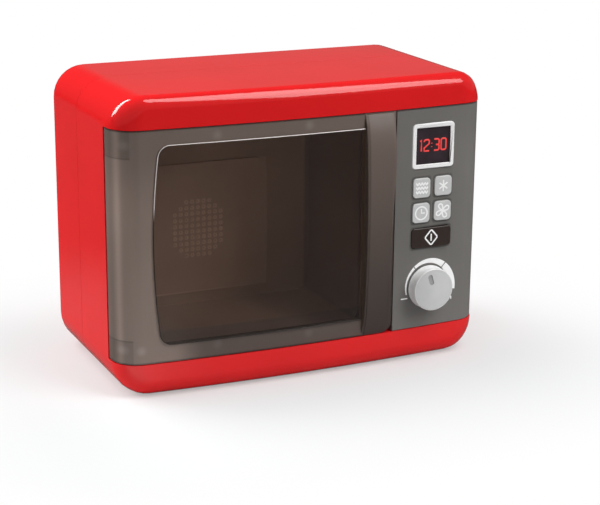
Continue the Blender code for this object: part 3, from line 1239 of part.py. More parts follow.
def make_shaft_and_wheel():
    """Shaft that the knob turns, with its stop collar, and the toothed wheel that clicks."""
    start = knob_seat_y() - KNOB_GAP - SHAFT_SOCKET
    collar = BRACKET_DEPTH - PART_GAP - SHAFT_COLLAR_LENGTH
    head = start - FRONT - collar
    tail = head - SHAFT_COLLAR_LENGTH
    end = start - FRONT - SHAFT_END_DEPTH
    profile = [(0, 0), (SHAFT_RADIUS, 0), (SHAFT_RADIUS, head), (SHAFT_COLLAR_RADIUS, head),
               (SHAFT_COLLAR_RADIUS, tail), (SHAFT_RADIUS, tail), (SHAFT_RADIUS, end), (0, end)]
    turned("knob_shaft", profile, "dark_plastic", (KNOB_X, start, KNOB_Z), "-Y", sides=ROUND_SIDE_COUNT)
    rear = FRONT + collar - PART_GAP
    bm = bmesh.new()
    turn = Matrix.Translation((KNOB_X, rear, KNOB_Z)) @ Matrix.Rotation(math.pi / 2, 4, "X")
    made = bmesh.ops.create_circle(bm, cap_ends=True, segments=WHEEL_TOOTH_COUNT * 2, radius=WHEEL_RADIUS)
    for index, vert in enumerate(made["verts"]):
        if index % 2:
            vert.co *= 1 - WHEEL_TOOTH / WHEEL_RADIUS
    grown = bmesh.ops.extrude_face_region(bm, geom=list(bm.faces))
    lifted = [item for item in grown["geom"] if isinstance(item, bmesh.types.BMVert)]
    bmesh.ops.translate(bm, verts=lifted, vec=(0, 0, WHEEL_WIDTH))
    bmesh.ops.recalc_face_normals(bm, faces=bm.faces)
    bmesh.ops.transform(bm, matrix=turn, verts=bm.verts)
    wheel = from_bmesh("click_wheel", bm, "dark_plastic")
    cut(wheel, rod("wheel_bore", (KNOB_X, rear - WHEEL_WIDTH - CUT_OVERRUN, KNOB_Z),
                   WHEEL_WIDTH + CUT_OVERRUN * 2, SHAFT_RADIUS + PART_GAP, "Y"))
    move_origin(wheel, (KNOB_X, rear, KNOB_Z))


def make_bracket_and_clicker():
    """Bearing bracket behind the knob, on two legs, with the click spring on it."""
    front = FRONT + BRACKET_DEPTH
    across, up = BRACKET_HALF_WIDTH, BRACKET_HALF_HEIGHT
    bracket = slab("shaft_bracket", (KNOB_X - across, front, KNOB_Z - up),
                   (KNOB_X + across, front + BRACKET_WALL, KNOB_Z + up), "dark_plastic", axis=1,
                   radius=BRACKET_CORNER)
    leg_x = across - BRACKET_LEG_RADIUS - BRACKET_LEG_INSET
    leg_z = up - BRACKET_LEG_RADIUS - BRACKET_LEG_INSET
    for index, (side, level) in enumerate(((-1, 1), (1, 1), (1, -1), (-1, -1))):
        x = KNOB_X + side * leg_x
        start = skin_y(x + BRACKET_LEG_RADIUS, SKIN_WALL) + PART_GAP
        join(bracket, rod(f"bracket_leg_{index + 1}", (x, start, KNOB_Z + level * leg_z),
                          front + BRACKET_WALL / 2 - start, BRACKET_LEG_RADIUS, "Y"))
    cut(bracket, rod("bracket_bore", (KNOB_X, front - CUT_OVERRUN, KNOB_Z), BRACKET_WALL + CUT_OVERRUN * 2,
                     SHAFT_RADIUS + PART_GAP, "Y"))
    rear = front - PART_GAP * 2 - SHAFT_COLLAR_LENGTH
    low = KNOB_Z - CLICKER_HALF_LENGTH
    near = KNOB_X + WHEEL_RADIUS + PART_GAP + CLICKER_NOSE
    far = near + CLICKER_STRIP
    clicker = slab("click_spring", (near, rear - WHEEL_WIDTH, low), (far, rear, KNOB_Z + CLICKER_FOOT),
                   "steel")
    join(clicker, rod("clicker_nose", (near, rear - WHEEL_WIDTH, KNOB_Z), WHEEL_WIDTH, CLICKER_NOSE, "Y"))
    join(clicker, slab("clicker_foot", (near, rear - WHEEL_WIDTH / 2, low),
                       (far, front - PART_GAP, low + CLICKER_FOOT)))


# Battery compartment

def battery_size():
    """Inner width, height and depth of the tray."""
    width = CELL_COUNT * (CELL_RADIUS * 2 + CELL_GAP) + CELL_GAP
    height = CELL_LENGTH + CELL_NUB + (CONTACT_THICKNESS + PART_GAP * 2) * 2
    return width, height, CELL_RADIUS * 2 + CELL_GAP


def battery_opening():
    """Opening in the rear casing: left, right, low and high."""
    width, height, _ = battery_size()
    middle = HALF_WIDTH - BATTERY_INSET
    return middle - width / 2, middle + width / 2, BATTERY_BOTTOM, BATTERY_BOTTOM + height


def cover_screw_place():
    """Where the cover's screw goes, in the tab above the opening."""
    return HALF_WIDTH - BATTERY_INSET, battery_opening()[3] + COVER_TAB / 2


def make_battery_box():
    """Tray behind the opening with its contacts and cells, and the cover with its screw."""
    left, right, low, high = battery_opening()
    depth = battery_size()[2]
    rear = REAR - CASE_WALL - PART_GAP
    tray = slab("battery_tray", (left - BATTERY_WALL, rear - depth - BATTERY_WALL, low - BATTERY_WALL),
                (right + BATTERY_WALL, rear, high + BATTERY_WALL), "dark_plastic")
    cut(tray, slab("tray_hollow", (left, rear - depth, low), (right, rear + CUT_OVERRUN, high)))
    mid_y = rear - CELL_RADIUS - CELL_GAP / 2
    for name, z in (("lower_contact_strip", low + PART_GAP),
                    ("upper_contact_strip", high - PART_GAP - CONTACT_THICKNESS)):
        slab(name, (left + CELL_GAP, mid_y - CONTACT_WIDTH / 2, z),
             (right - CELL_GAP, mid_y + CONTACT_WIDTH / 2, z + CONTACT_THICKNESS), "steel")
    tip, shoulder = CELL_LENGTH + CELL_NUB, CELL_RADIUS - CELL_GAP
    profile = [(0, tip), (CELL_NUB_RADIUS, tip), (CELL_NUB_RADIUS, CELL_LENGTH), (shoulder, CELL_LENGTH),
               (CELL_RADIUS, CELL_LENGTH - CELL_GAP), (CELL_RADIUS, CELL_GAP), (shoulder, 0), (0, 0)]
    for index in range(CELL_COUNT):
        x = left + CELL_GAP + CELL_RADIUS + index * (CELL_RADIUS * 2 + CELL_GAP)
        start = low + PART_GAP * 2 + CONTACT_THICKNESS
        flipped = index % 2
        z = start + (CELL_LENGTH + CELL_NUB if flipped else 0)
        turned(f"battery_cell_{index + 1}", profile, "cell_label", (x, mid_y, z), "-Z" if flipped else "+Z",
               sides=ROUND_SIDE_COUNT)
    make_battery_cover(left, right, low, high)


def make_battery_cover(left, right, low, high):
    """Cover flush with the back, with a screw tab above and a hooked lip below."""
    x, z = cover_screw_place()
    cover = slab("battery_cover", (left + PART_GAP, REAR - COVER_THICKNESS, low + PART_GAP),
                 (right - PART_GAP, REAR, high - PART_GAP), "red_plastic", axis=1, radius=COVER_RADIUS)
    join(cover, slab("cover_tab", (x - COVER_TAB / 2, REAR - COVER_THICKNESS, high - COVER_RADIUS * 2),
                     (x + COVER_TAB / 2, REAR, high + COVER_TAB)))
    cut(cover, rod("cover_screw_hole", (x, REAR - COVER_THICKNESS - CUT_OVERRUN, z),
                   COVER_THICKNESS + CUT_OVERRUN * 2, SCREW_SHANK_RADIUS + PART_GAP, "Y"))
    mesh = screw_mesh("cover_screw_mesh", COVER_SCREW_LENGTH)
    put_screw("cover_screw", mesh, (x, REAR + PART_GAP, z))


# Leads

def make_lead(name, points):
    """Insulated lead along its route's points."""
    curve = bpy.data.curves.new(name, "CURVE")
    curve.dimensions = "3D"
    curve.bevel_depth = LEAD_RADIUS
    curve.bevel_resolution = 1
    curve.use_fill_caps = True
    spline = curve.splines.new("POLY")
    spline.points.add(len(points) - 1)
    for point, place_at in zip(spline.points, points):
        point.co = (*place_at, 1)
    place(name, curve, "lead_insulation")


def make_battery_lead(board_back):
    """Lead from the battery tray forward to the board."""
    _, right, _, high = battery_opening()
    tray_front = REAR - CASE_WALL - PART_GAP * 2 - battery_size()[2] - BATTERY_WALL
    start = Vector((right - LEAD_INSET, tray_front, high - LEAD_INSET))
    end = Vector((PANEL_AXIS_X + LEAD_INSET * 2, board_back, START_Z))
    leave, arrive = start - Vector((0, LEAD_SWEEP, 0)), end + Vector((0, LEAD_SWEEP, 0))
    points = []
    for step in range(LEAD_STEPS + 1):
        share = step / LEAD_STEPS
        rest = 1 - share
        point = start * rest ** 3 + leave * 3 * share * rest ** 2
        points.append(point + arrive * 3 * share ** 2 * rest + end * share ** 3)
    make_lead("battery_lead", points)


def make_speaker_lead(board_back):
    """Lead from the speaker along the cavity's back, round its corner and forward to the board."""
    back = FRONT + LINER_REAR_DEPTH + MAGNET_RADIUS
    end_x = PANEL_AXIS_X - LEAD_INSET * 2
    points = [(GRILLE_X + MAGNET_RADIUS + PART_GAP, back, GRILLE_Z)]
    for step in range(LEAD_STEPS + 1):
        angle = math.pi / 2 * step / LEAD_STEPS
        points.append((end_x - LEAD_BEND * (1 - math.sin(angle)), back - LEAD_BEND * (1 - math.cos(angle)),
                       KEY_TOP_Z))
    make_lead("speaker_lead", points + [(end_x, board_back, KEY_TOP_Z)])


# Assembly

def hang_on(pivot_name, pivot, names):
    """Parent parts to an empty on their joint's axis."""
    empty = bpy.data.objects.new(pivot_name, None)
    empty.location = pivot
    PARTS.objects.link(empty)
    for name in names:
        item = bpy.data.objects[name]
        item.parent = empty
        item.matrix_parent_inverse = Matrix.Translation(-Vector(pivot))


def build():
    """Model every piece of the oven."""
    make_front_casing()
    make_rear_casing()
    make_casing_screws()
    make_liner()
    make_liner_screws()
    make_lamp()
    make_speaker()
    make_door_shell()
    make_inner_frame()
    for upper in (True, False):
        make_hinge_block(upper)
        make_hinge_pin(upper)
    make_catch()
    make_panel()
    make_keys()
    make_display()
    make_mat_and_board()
    make_panel_screws()
    make_knob()
    make_shaft_and_wheel()
    make_bracket_and_clicker()
    make_battery_box()
    board_back = board_y() + BOARD_THICKNESS + PART_GAP
    make_battery_lead(board_back)
    make_speaker_lead(board_back)
    hang_on("door_hinge", (HINGE_X, HINGE_Y, 0),
            ["door_shell", "door_inner_frame", "upper_hinge_block", "lower_hinge_block", "upper_hinge_pin",
             "lower_hinge_pin", "door_catch"])
    hang_on("timer_axis", (KNOB_X, knob_seat_y(), KNOB_Z), ["timer_knob", "knob_shaft", "click_wheel"])


build()
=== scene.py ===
import math

import bmesh
import bpy
from mathutils import Matrix, Vector


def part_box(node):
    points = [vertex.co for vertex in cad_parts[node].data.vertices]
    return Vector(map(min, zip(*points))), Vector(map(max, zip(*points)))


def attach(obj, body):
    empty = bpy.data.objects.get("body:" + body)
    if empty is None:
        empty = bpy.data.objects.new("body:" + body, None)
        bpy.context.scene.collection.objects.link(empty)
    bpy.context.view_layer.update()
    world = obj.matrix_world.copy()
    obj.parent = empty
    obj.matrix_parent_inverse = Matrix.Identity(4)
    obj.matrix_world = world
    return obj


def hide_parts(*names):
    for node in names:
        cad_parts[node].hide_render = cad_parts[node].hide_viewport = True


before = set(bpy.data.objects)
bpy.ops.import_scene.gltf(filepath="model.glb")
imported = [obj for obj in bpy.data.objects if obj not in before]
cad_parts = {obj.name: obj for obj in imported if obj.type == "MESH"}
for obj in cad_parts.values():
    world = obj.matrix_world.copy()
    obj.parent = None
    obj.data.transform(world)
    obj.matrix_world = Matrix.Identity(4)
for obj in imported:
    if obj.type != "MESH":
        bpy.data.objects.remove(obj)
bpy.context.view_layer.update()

# Camera: it stands to the left of the front and looks slightly down through a long lens,
# so the front, the left side and the top of the toy are all in view.
camera_data = bpy.data.cameras.new("camera")
camera_data.sensor_width = 36
camera_data.lens = 100.308
camera = bpy.data.objects.new("camera", camera_data)
camera_yaw, camera_pitch, camera_roll = math.radians(24.784), math.radians(-16.333), math.radians(0.506)
camera.matrix_world = (Matrix.Translation((-0.45747, -1.04419, 0.40394))
                       @ Matrix.Rotation(-camera_yaw, 4, "Z")
                       @ Matrix.Rotation(math.pi / 2 + camera_pitch, 4, "X")
                       @ Matrix.Rotation(camera_roll, 4, "Z"))
bpy.context.scene.collection.objects.link(camera)
bpy.context.scene.camera = camera
bpy.context.scene.view_settings.view_transform = "Standard"

# Studio: a pale floor that keeps the toy's shadow and fades into the white of the world away from it. Its
# colour holds painted shade: darker and cooler at the left, and darker still where glossy faces see it, with
# a paler painted patch in front at the left that the lip mirrors.


def wire(tree, kind, feeds, **options):
    """Add a node, set its options, then join or fill its inputs."""
    made = tree.nodes.new(kind)
    for option, value in options.items():
        setattr(made, option, value)
    for slot, feed in feeds.items():
        if isinstance(feed, bpy.types.NodeSocket):
            tree.links.new(feed, made.inputs[slot])
        else:
            made.inputs[slot].default_value = feed
    return made


def sum_of(tree, operation, first, second=0.0):
    """Output of one Math node."""
    return wire(tree, "ShaderNodeMath", {0: first, 1: second}, operation=operation).outputs[0]


def stepped(tree, value, low, high, out_low=0.0, out_high=1.0):
    """A value run smoothly from one level to another between two limits."""
    return wire(tree, "ShaderNodeMapRange",
                {"Value": value, "From Min": low, "From Max": high, "To Min": out_low, "To Max": out_high},
                interpolation_type="SMOOTHSTEP").outputs["Result"]


def blended(tree, share, first, second):
    """One colour run into another by a share."""
    return wire(tree, "ShaderNodeMix", {0: share, 6: first, 7: second}, data_type="RGBA").outputs[2]


def whole_place(tree):
    """The object's own coordinates as one vector."""
    return tree.nodes.new("ShaderNodeTexCoord").outputs["Object"]


def places_of(tree):
    """The object's own coordinates as x, y and z."""
    return wire(tree, "ShaderNodeSeparateXYZ", {0: whole_place(tree)}).outputs


def distance_from(tree, place, middle, axes=(0, 2)):
    """Distance from a middle, measured over two axes."""
    parts = [sum_of(tree, "POWER", sum_of(tree, "SUBTRACT", place[axis], middle[axis]), 2.0) for axis in axes]
    return sum_of(tree, "SQRT", sum_of(tree, "ADD", parts[0], parts[1]))


floor_radius, shadow_half_width, shadow_half_depth = 8.0, 0.11, 0.06
floor_mesh = bpy.data.meshes.new("floor")
bm = bmesh.new()
bmesh.ops.create_circle(bm, cap_ends=True, segments=96, radius=floor_radius)
bm.to_mesh(floor_mesh)
bm.free()
floor = bpy.data.objects.new("floor", floor_mesh)
bpy.context.scene.collection.objects.link(floor)
floor_finish = bpy.data.materials.new("pale_floor")
floor_finish.use_nodes = True
tree = floor_finish.node_tree
paper_shader = tree.nodes["Principled BSDF"]
paper_shader.inputs["Roughness"].default_value = 0.9
paper_shader.inputs["Specular IOR Level"].default_value = 0.0
glow = wire(tree, "ShaderNodeEmission", {"Color": (1, 1, 1, 1), "Strength": 1.0})
place = places_of(tree)
beside = [sum_of(tree, "MAXIMUM", sum_of(tree, "SUBTRACT", sum_of(tree, "ABSOLUTE", place[axis]), half), 0.0)
          for axis, half in ((0, shadow_half_width), (1, shadow_half_depth))]
reach = distance_from(tree, beside, (0.0, 0.0), axes=(0, 1))
rays = tree.nodes.new("ShaderNodeLightPath").outputs
far_tone = (0.04, 0.04, 0.04, 1)
# Painted shade: the near floor is darker and cooler at the left.
near_painted_shade_tone = blended(tree, stepped(tree, place[0], -0.20, -0.12),
                    (0.57, 0.60, 0.605, 1), (0.68, 0.695, 0.70, 1))
paper_seen = blended(tree, stepped(tree, reach, 0.10, 0.46), near_painted_shade_tone, far_tone)
# Painted shade and light as glossy faces see the floor: darker beside the toy, paler in front at the left.
in_front = stepped(tree, place[1], -0.095, -0.065, 1.0, 0.0)
front_left_painted_light = sum_of(tree, "MULTIPLY", in_front, stepped(tree, place[0], -0.14, -0.04, 1.0, 0.0))
mirrored_painted_shade_tone = blended(tree, in_front, (0.18, 0.18, 0.18, 1), (0.30, 0.30, 0.30, 1))
mirrored_near_painted_tone = blended(tree, front_left_painted_light, mirrored_painted_shade_tone, (0.62, 0.62, 0.62, 1))
paper_mirrored_painted_tone = blended(tree, stepped(tree, reach, 0.04, 0.30), mirrored_near_painted_tone, far_tone)
paper_tone = blended(tree, rays["Is Glossy Ray"], paper_seen, paper_mirrored_painted_tone)
tree.links.new(paper_tone, paper_shader.inputs["Base Color"])
seen = sum_of(tree, "MAXIMUM", rays["Is Camera Ray"], rays["Is Transmission Ray"])
fade = sum_of(tree, "MULTIPLY", stepped(tree, reach, 0.0, 0.20, 0.36, 1.0), seen)
paper_mix = wire(tree, "ShaderNodeMixShader", {0: fade, 1: paper_shader.outputs[0], 2: glow.outputs[0]})
tree.links.new(paper_mix.outputs[0], tree.nodes["Material Output"].inputs["Surface"])
floor_mesh.materials.append(floor_finish)

# World and lamps: white paper all round, seen white by the camera and through clear plastic, and
# at the level the lamps give it by glossy faces. Two softboxes stand at the right front, a strip
# at the left rear, and a softbox on the left that glossy faces don't mirror.
world = bpy.data.worlds.new("studio")
bpy.context.scene.world = world
world.use_nodes = True
tree = world.node_tree
plain = tree.nodes["Background"]
plain.inputs["Color"].default_value = (0.34, 0.34, 0.34, 1)
plain.inputs["Strength"].default_value = 1.0
white = wire(tree, "ShaderNodeBackground", {"Color": (1, 1, 1, 1), "Strength": 1.0})
way = places_of(tree)
low_right = sum_of(tree, "MULTIPLY", stepped(tree, way[0], 0.02, 0.36),
                   stepped(tree, way[2], 0.24, 0.42, 1.0, 0.1))
behind = stepped(tree, way[1], -0.2, 0.3)
dull = sum_of(tree, "MULTIPLY", behind, sum_of(tree, "SUBTRACT", 1.0, low_right))
paper_shade = blended(tree, dull, (0.17, 0.165, 0.155, 1), (0.04, 0.04, 0.04, 1))
paper = wire(tree, "ShaderNodeBackground", {"Color": paper_shade, "Strength": 1.0})
rays = tree.nodes.new("ShaderNodeLightPath").outputs
shiny = wire(tree, "ShaderNodeMixShader", {0: rays["Is Glossy Ray"], 1: plain.outputs[0],
                                           2: paper.outputs[0]})
seen = sum_of(tree, "MAXIMUM", rays["Is Camera Ray"], rays["Is Transmission Ray"])
shown = wire(tree, "ShaderNodeMixShader", {0: seen, 1: shiny.outputs[0], 2: white.outputs[0]})
tree.links.new(shown.outputs[0], tree.nodes["World Output"].inputs["Surface"])

toy_middle = Vector((0, 0, 0.10))
for name, spot, width, height, power, turn, mirrored in (
        ("upper_right_softbox", (0.55, -0.73, 1.68), 0.90, 1.10, 17.6, 0, True),
        ("lower_right_softbox", (0.93, -1.19, 1.04), 0.95, 0.70, 10.6, 0, True),
        ("rear_left_strip", (-0.82, 0.865, 0.91), 1.15, 0.42, 18.5, -41, True),
        ("left_softbox", (-1.50, 0.50, 0.90), 0.90, 0.90, 11.5, 0, False)):
    lamp_data = bpy.data.lights.new(name, "AREA")
    lamp_data.shape = "RECTANGLE"
    lamp_data.size, lamp_data.size_y = width, height
    lamp_data.energy = power
    lamp = bpy.data.objects.new(name, lamp_data)
    aim = (toy_middle - Vector(spot)).to_track_quat("-Z", "Y").to_matrix().to_4x4()
    lamp.matrix_world = Matrix.Translation(spot) @ aim @ Matrix.Rotation(math.radians(turn), 4, "Z")
    lamp.visible_glossy = mirrored
    lamp.visible_camera = False
    bpy.context.scene.collection.objects.link(lamp)

# Rear casing: the plain red back half, with vent slots and the battery opening.
# Every piece is a merged copy of its solid, smooth over the rounds and eased along the edges.

merge_distance = 0.00001
flat_angle = math.radians(0.3)
crease_angle = math.radians(32)


def moulded(name, colour, roughness=(0.20, 0.28), spread=0.05, patch=14.0, grain=700.0, depth=0.00002,
            metallic=0.0, shine=0.5, stretch=(1, 1, 1)):
    """Moulded or plated finish: slow colour drift, uneven gloss and a fine skin that may be drawn out."""
    finish = bpy.data.materials.new(name)
    finish.use_nodes = True
    tree = finish.node_tree
    shader = tree.nodes["Principled BSDF"]
    coords = whole_place(tree)
    drawn_out = wire(tree, "ShaderNodeMapping", {"Vector": coords, "Scale": stretch}).outputs[0]
    drift = wire(tree, "ShaderNodeTexNoise", {"Vector": coords, "Scale": patch, "Detail": 3.0}).outputs[0]
    skin = wire(tree, "ShaderNodeTexNoise", {"Vector": drawn_out, "Scale": grain, "Detail": 2.0}).outputs[0]
    darker = tuple(part * (1 - spread) for part in colour) + (1,)
    lighter = tuple(min(1, part * (1 + spread)) for part in colour) + (1,)
    tree.links.new(blended(tree, stepped(tree, drift, 0.3, 0.7), darker, lighter),
                   shader.inputs["Base Color"])
    tree.links.new(stepped(tree, skin, 0.3, 0.7, *roughness), shader.inputs["Roughness"])
    bump = wire(tree, "ShaderNodeBump", {"Strength": 1.0, "Distance": depth, "Height": skin})
    tree.links.new(bump.outputs["Normal"], shader.inputs["Normal"])
    shader.inputs["Metallic"].default_value = metallic
    shader.inputs["Specular IOR Level"].default_value = shine
    return finish


def shade_by(finish, factor):
    """Multiply a finish's colour by a factor made in its own node tree."""
    tree = finish.node_tree
    socket = tree.nodes["Principled BSDF"].inputs["Base Color"]
    scaled = wire(tree, "ShaderNodeVectorMath", {0: socket.links[0].from_socket, 3: factor},
                  operation="SCALE")
    tree.links.new(scaled.outputs[0], socket)


def dressed(name, node, body, finish, edge=0.0002, whole_faces=False):
    """A merged copy of a solid, smooth over its rounds and eased along its edges; whole_faces
    first joins its flat triangles into whole faces."""
    bm = bmesh.new()
    bm.from_mesh(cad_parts[node].data)
    bmesh.ops.remove_doubles(bm, verts=bm.verts, dist=merge_distance)
    if whole_faces:
        bmesh.ops.dissolve_limit(bm, angle_limit=flat_angle, verts=bm.verts, edges=bm.edges)
    mesh = bpy.data.meshes.new(name)
    bm.to_mesh(mesh)
    bm.free()
    mesh.shade_smooth()
    mesh.set_sharp_from_angle(angle=crease_angle)
    mesh.materials.clear()
    mesh.materials.append(finish)
    piece = bpy.data.objects.new(name, mesh)
    bpy.context.scene.collection.objects.link(piece)
    if edge:
        ease = piece.modifiers.new("eased edges", "BEVEL")
        ease.width = edge
        ease.segments = 2
        ease.limit_method = "ANGLE"
        ease.angle_limit = crease_angle
        ease.miter_outer = "MITER_ARC"
    flats = piece.modifiers.new("flat faces", "WEIGHTED_NORMAL")
    flats.keep_sharp = True
    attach(piece, body)
    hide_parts(node)
    return piece


red_gloss = moulded("red_gloss", (0.76, 0.0145, 0.0165), roughness=(0.07, 0.10), spread=0.03, depth=0.000004,
                    grain=300.0)
dressed("rear_shell", "rear_casing", "casing", red_gloss)

# Battery box: a dark tray with plated contact strips and three wrapped cells. The tray stands
# inside the rear casing, behind a red cover that one screw holds.


def band(tree, value, low, high, soft):
    """1 between two limits and 0 beyond them, with soft ends."""
    return sum_of(tree, "MULTIPLY", stepped(tree, value, low - soft, low + soft),
                  stepped(tree, value, high - soft, high + soft, 1.0, 0.0))


def wrapped(name, band_low, band_high):
    """Cell finish: a dark printed wrap with a copper-coloured band, bare plated steel at both ends."""
    finish = moulded(name, (0.045, 0.050, 0.062), roughness=(0.22, 0.32), patch=80.0, grain=900.0)
    tree = finish.node_tree
    shader = tree.nodes["Principled BSDF"]
    place = places_of(tree)
    base = shader.inputs["Base Color"]
    banded = blended(tree, band(tree, place[2], band_low, band_high, 0.0001), base.links[0].from_socket,
                     (0.62, 0.30, 0.14, 1))
    bare = sum_of(tree, "SUBTRACT", 1.0, band(tree, place[2], cell_low + 0.0016, cell_high - 0.0026, 0.0001))
    tree.links.new(blended(tree, bare, banded, (0.62, 0.62, 0.63, 1)), base)
    tree.links.new(bare, shader.inputs["Metallic"])
    return finish


satin_black = moulded("satin_black", (0.028, 0.026, 0.025), roughness=(0.34, 0.46), grain=900.0)
pressed_steel = moulded("pressed_steel", (0.58, 0.58, 0.59), roughness=(0.24, 0.36), grain=420.0,
                        metallic=1.0)
dressed("cell_tray", "battery_tray", "casing", satin_black)
for name in ("upper_contact_strip", "lower_contact_strip"):
    dressed(name + "_plated", name, "casing", pressed_steel)
cell_low, cell_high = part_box("battery_cell_1")[0].z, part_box("battery_cell_1")[1].z
plus_up = wrapped("wrap_plus_up", 0.0800, 0.0905)
plus_down = wrapped("wrap_plus_down", 0.0450, 0.0560)
for count, finish in ((1, plus_up), (2, plus_down), (3, plus_up)):
    dressed(f"cell_{count}", f"battery_cell_{count}", "casing", finish)
lead_red = moulded("lead_red", (0.60, 0.030, 0.022), roughness=(0.38, 0.50), patch=90.0)
dressed("battery_wire", "battery_lead", "casing", lead_red, edge=0)
dressed("battery_door", "battery_cover", "casing", red_gloss)

# Front casing: the glossy red half that carries the visor over the door and the lip under it.
# It is injection moulded, and four screws pull it onto the rear half.
dressed("front_shell", "front_casing", "casing", red_gloss)

# Oven cavity: a grey box behind the door with a raised back panel and a sound grille.
# The back panel and floor are painted lighter, the right wall a darker grey, and the panel's foot carries a
# painted highlight line; a fine raised rim round each hole of the grille is coloured paler than the liner as
# a painted highlight.
liner_grey = moulded("liner_grey", (0.58, 0.52, 0.48), roughness=(0.45, 0.55), grain=500.0)
back_panel = {0: (-0.0931, 0.0148), 1: (0.0360, 0.0390), 2: (0.0347, 0.1307)}
panel_blur = 0.0004
tree = liner_grey.node_tree
place = places_of(tree)
on_panel = 1.0
for axis, (low, high) in back_panel.items():
    on_panel = sum_of(tree, "MULTIPLY", on_panel, band(tree, place[axis], low, high, panel_blur))
# Painted shade on the right wall; painted light on the floor and back panel, with a painted highlight line
# along the panel's foot.
right_wall_painted_shade = stepped(tree, place[0], 0.0440, 0.0470)
liner_base = tree.nodes["Principled BSDF"].inputs["Base Color"]
tree.links.new(blended(tree, right_wall_painted_shade, liner_base.links[0].from_socket, (0.33, 0.33, 0.35, 1)), liner_base)
floor_painted_light = stepped(tree, place[2], 0.0266, 0.0270, 0.22, 0.0)
foot_painted_highlight = sum_of(tree, "MULTIPLY", band(tree, place[2], 0.0350, 0.0360, 0.0003),
                   stepped(tree, place[0], *back_panel[0], 0.45, 0.05))
foot_painted_highlight = sum_of(tree, "MULTIPLY", foot_painted_highlight, on_panel)
liner_shade = sum_of(tree, "ADD", sum_of(tree, "ADD", 0.90, floor_painted_light), foot_painted_highlight)
liner_shade = sum_of(tree, "ADD", liner_shade, sum_of(tree, "MULTIPLY", on_panel, 0.18))
shade_by(liner_grey, liner_shade)
dressed("oven_cavity", "cavity_liner", "casing", liner_grey)
grille_middle, grille_pitch, grille_front = Vector((-0.03915, 0, 0.0827)), 0.0044, 0.03705
grille_rows, grille_columns, corner_cut = 10, 9, 2
rim_inner, rim_outer, rim_height, rim_root, rim_slope = 0.0004, 0.0016, 0.0004, 0.0002, 0.6
# Painted highlight: the grille's raised rims are coloured far paler than the grey liner round them.
rim_painted_highlight = moulded("rim_painted_highlight", (0.95, 0.85, 0.75), roughness=(0.40, 0.50))
bm = bmesh.new()
for row in range(grille_rows):
    skip = max(0, corner_cut - min(row, grille_rows - 1 - row))
    for column in range(skip, grille_columns - skip):
        middle = grille_middle + Vector(((column - (grille_columns - 1) / 2) * grille_pitch, grille_front,
                                         (row - (grille_rows - 1) / 2) * grille_pitch))
        profile = [bm.verts.new(middle + Vector((across, depth, 0)))
                   for across, depth in ((rim_inner, rim_root), (rim_inner, -rim_height),
                                         (rim_outer, -rim_height * rim_slope), (rim_outer, rim_root))]
        lines = [bm.edges.new(pair) for pair in zip(profile, profile[1:] + profile[:1])]
        bmesh.ops.spin(bm, geom=profile + lines, cent=middle, axis=(0, 1, 0), angle=math.tau, steps=10,
                       use_merge=True)
bmesh.ops.recalc_face_normals(bm, faces=bm.faces)
rims_mesh = bpy.data.meshes.new("grille_rims")
bm.to_mesh(rims_mesh)
bm.free()
rims_mesh.shade_smooth()
rims_mesh.set_sharp_from_angle(angle=crease_angle)
rims_mesh.materials.append(rim_painted_highlight)
rims = bpy.data.objects.new("grille_rims", rims_mesh)
bpy.context.scene.collection.objects.link(rims)
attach(rims, "casing")

# Speaker: a pressed steel basket with a ribbed paper cone and a ferrite magnet. A retainer ring
# holds it against the back of the grille, and its lead runs round to the key board.
cone_paper = moulded("cone_paper", (0.075, 0.070, 0.066), roughness=(0.85, 0.95), patch=240.0, spread=0.25,
                     grain=2400.0, depth=0.00006)
rib_pitch, rib_height = 0.0016, 0.0002
tree = cone_paper.node_tree
paper_normal = tree.nodes["Principled BSDF"].inputs["Normal"]
place = places_of(tree)
turns = sum_of(tree, "MULTIPLY", distance_from(tree, place, grille_middle), math.tau / rib_pitch)
ribs = wire(tree, "ShaderNodeBump", {"Strength": 1.0, "Distance": rib_height,
                                     "Height": sum_of(tree, "SINE", turns),
                                     "Normal": paper_normal.links[0].from_socket})
tree.links.new(ribs.outputs["Normal"], paper_normal)
ferrite = moulded("ferrite", (0.060, 0.060, 0.064), roughness=(0.55, 0.70), patch=180.0, spread=0.2)
lead_black = moulded("lead_black", (0.035, 0.033, 0.033), roughness=(0.38, 0.50), patch=90.0)
dressed("speaker_frame", "speaker_basket", "casing", pressed_steel)
dressed("speaker_paper_cone", "speaker_cone", "casing", cone_paper)
dressed("speaker_ferrite", "speaker_magnet", "casing", ferrite)
dressed("speaker_ring", "speaker_retainer", "casing", satin_black)
dressed("speaker_wire", "speaker_lead", "casing", lead_black, edge=0)

# Cavity lamp: a small amber lens pressed into the roof of the cavity, near the door.
# It is a moulded push fit and lights the food from above.
lamp_amber = moulded("lamp_amber", (0.88, 0.62, 0.24), roughness=(0.12, 0.20), patch=160.0, spread=0.08)
dressed("lamp_lens", "cavity_lamp", "casing", lamp_amber)

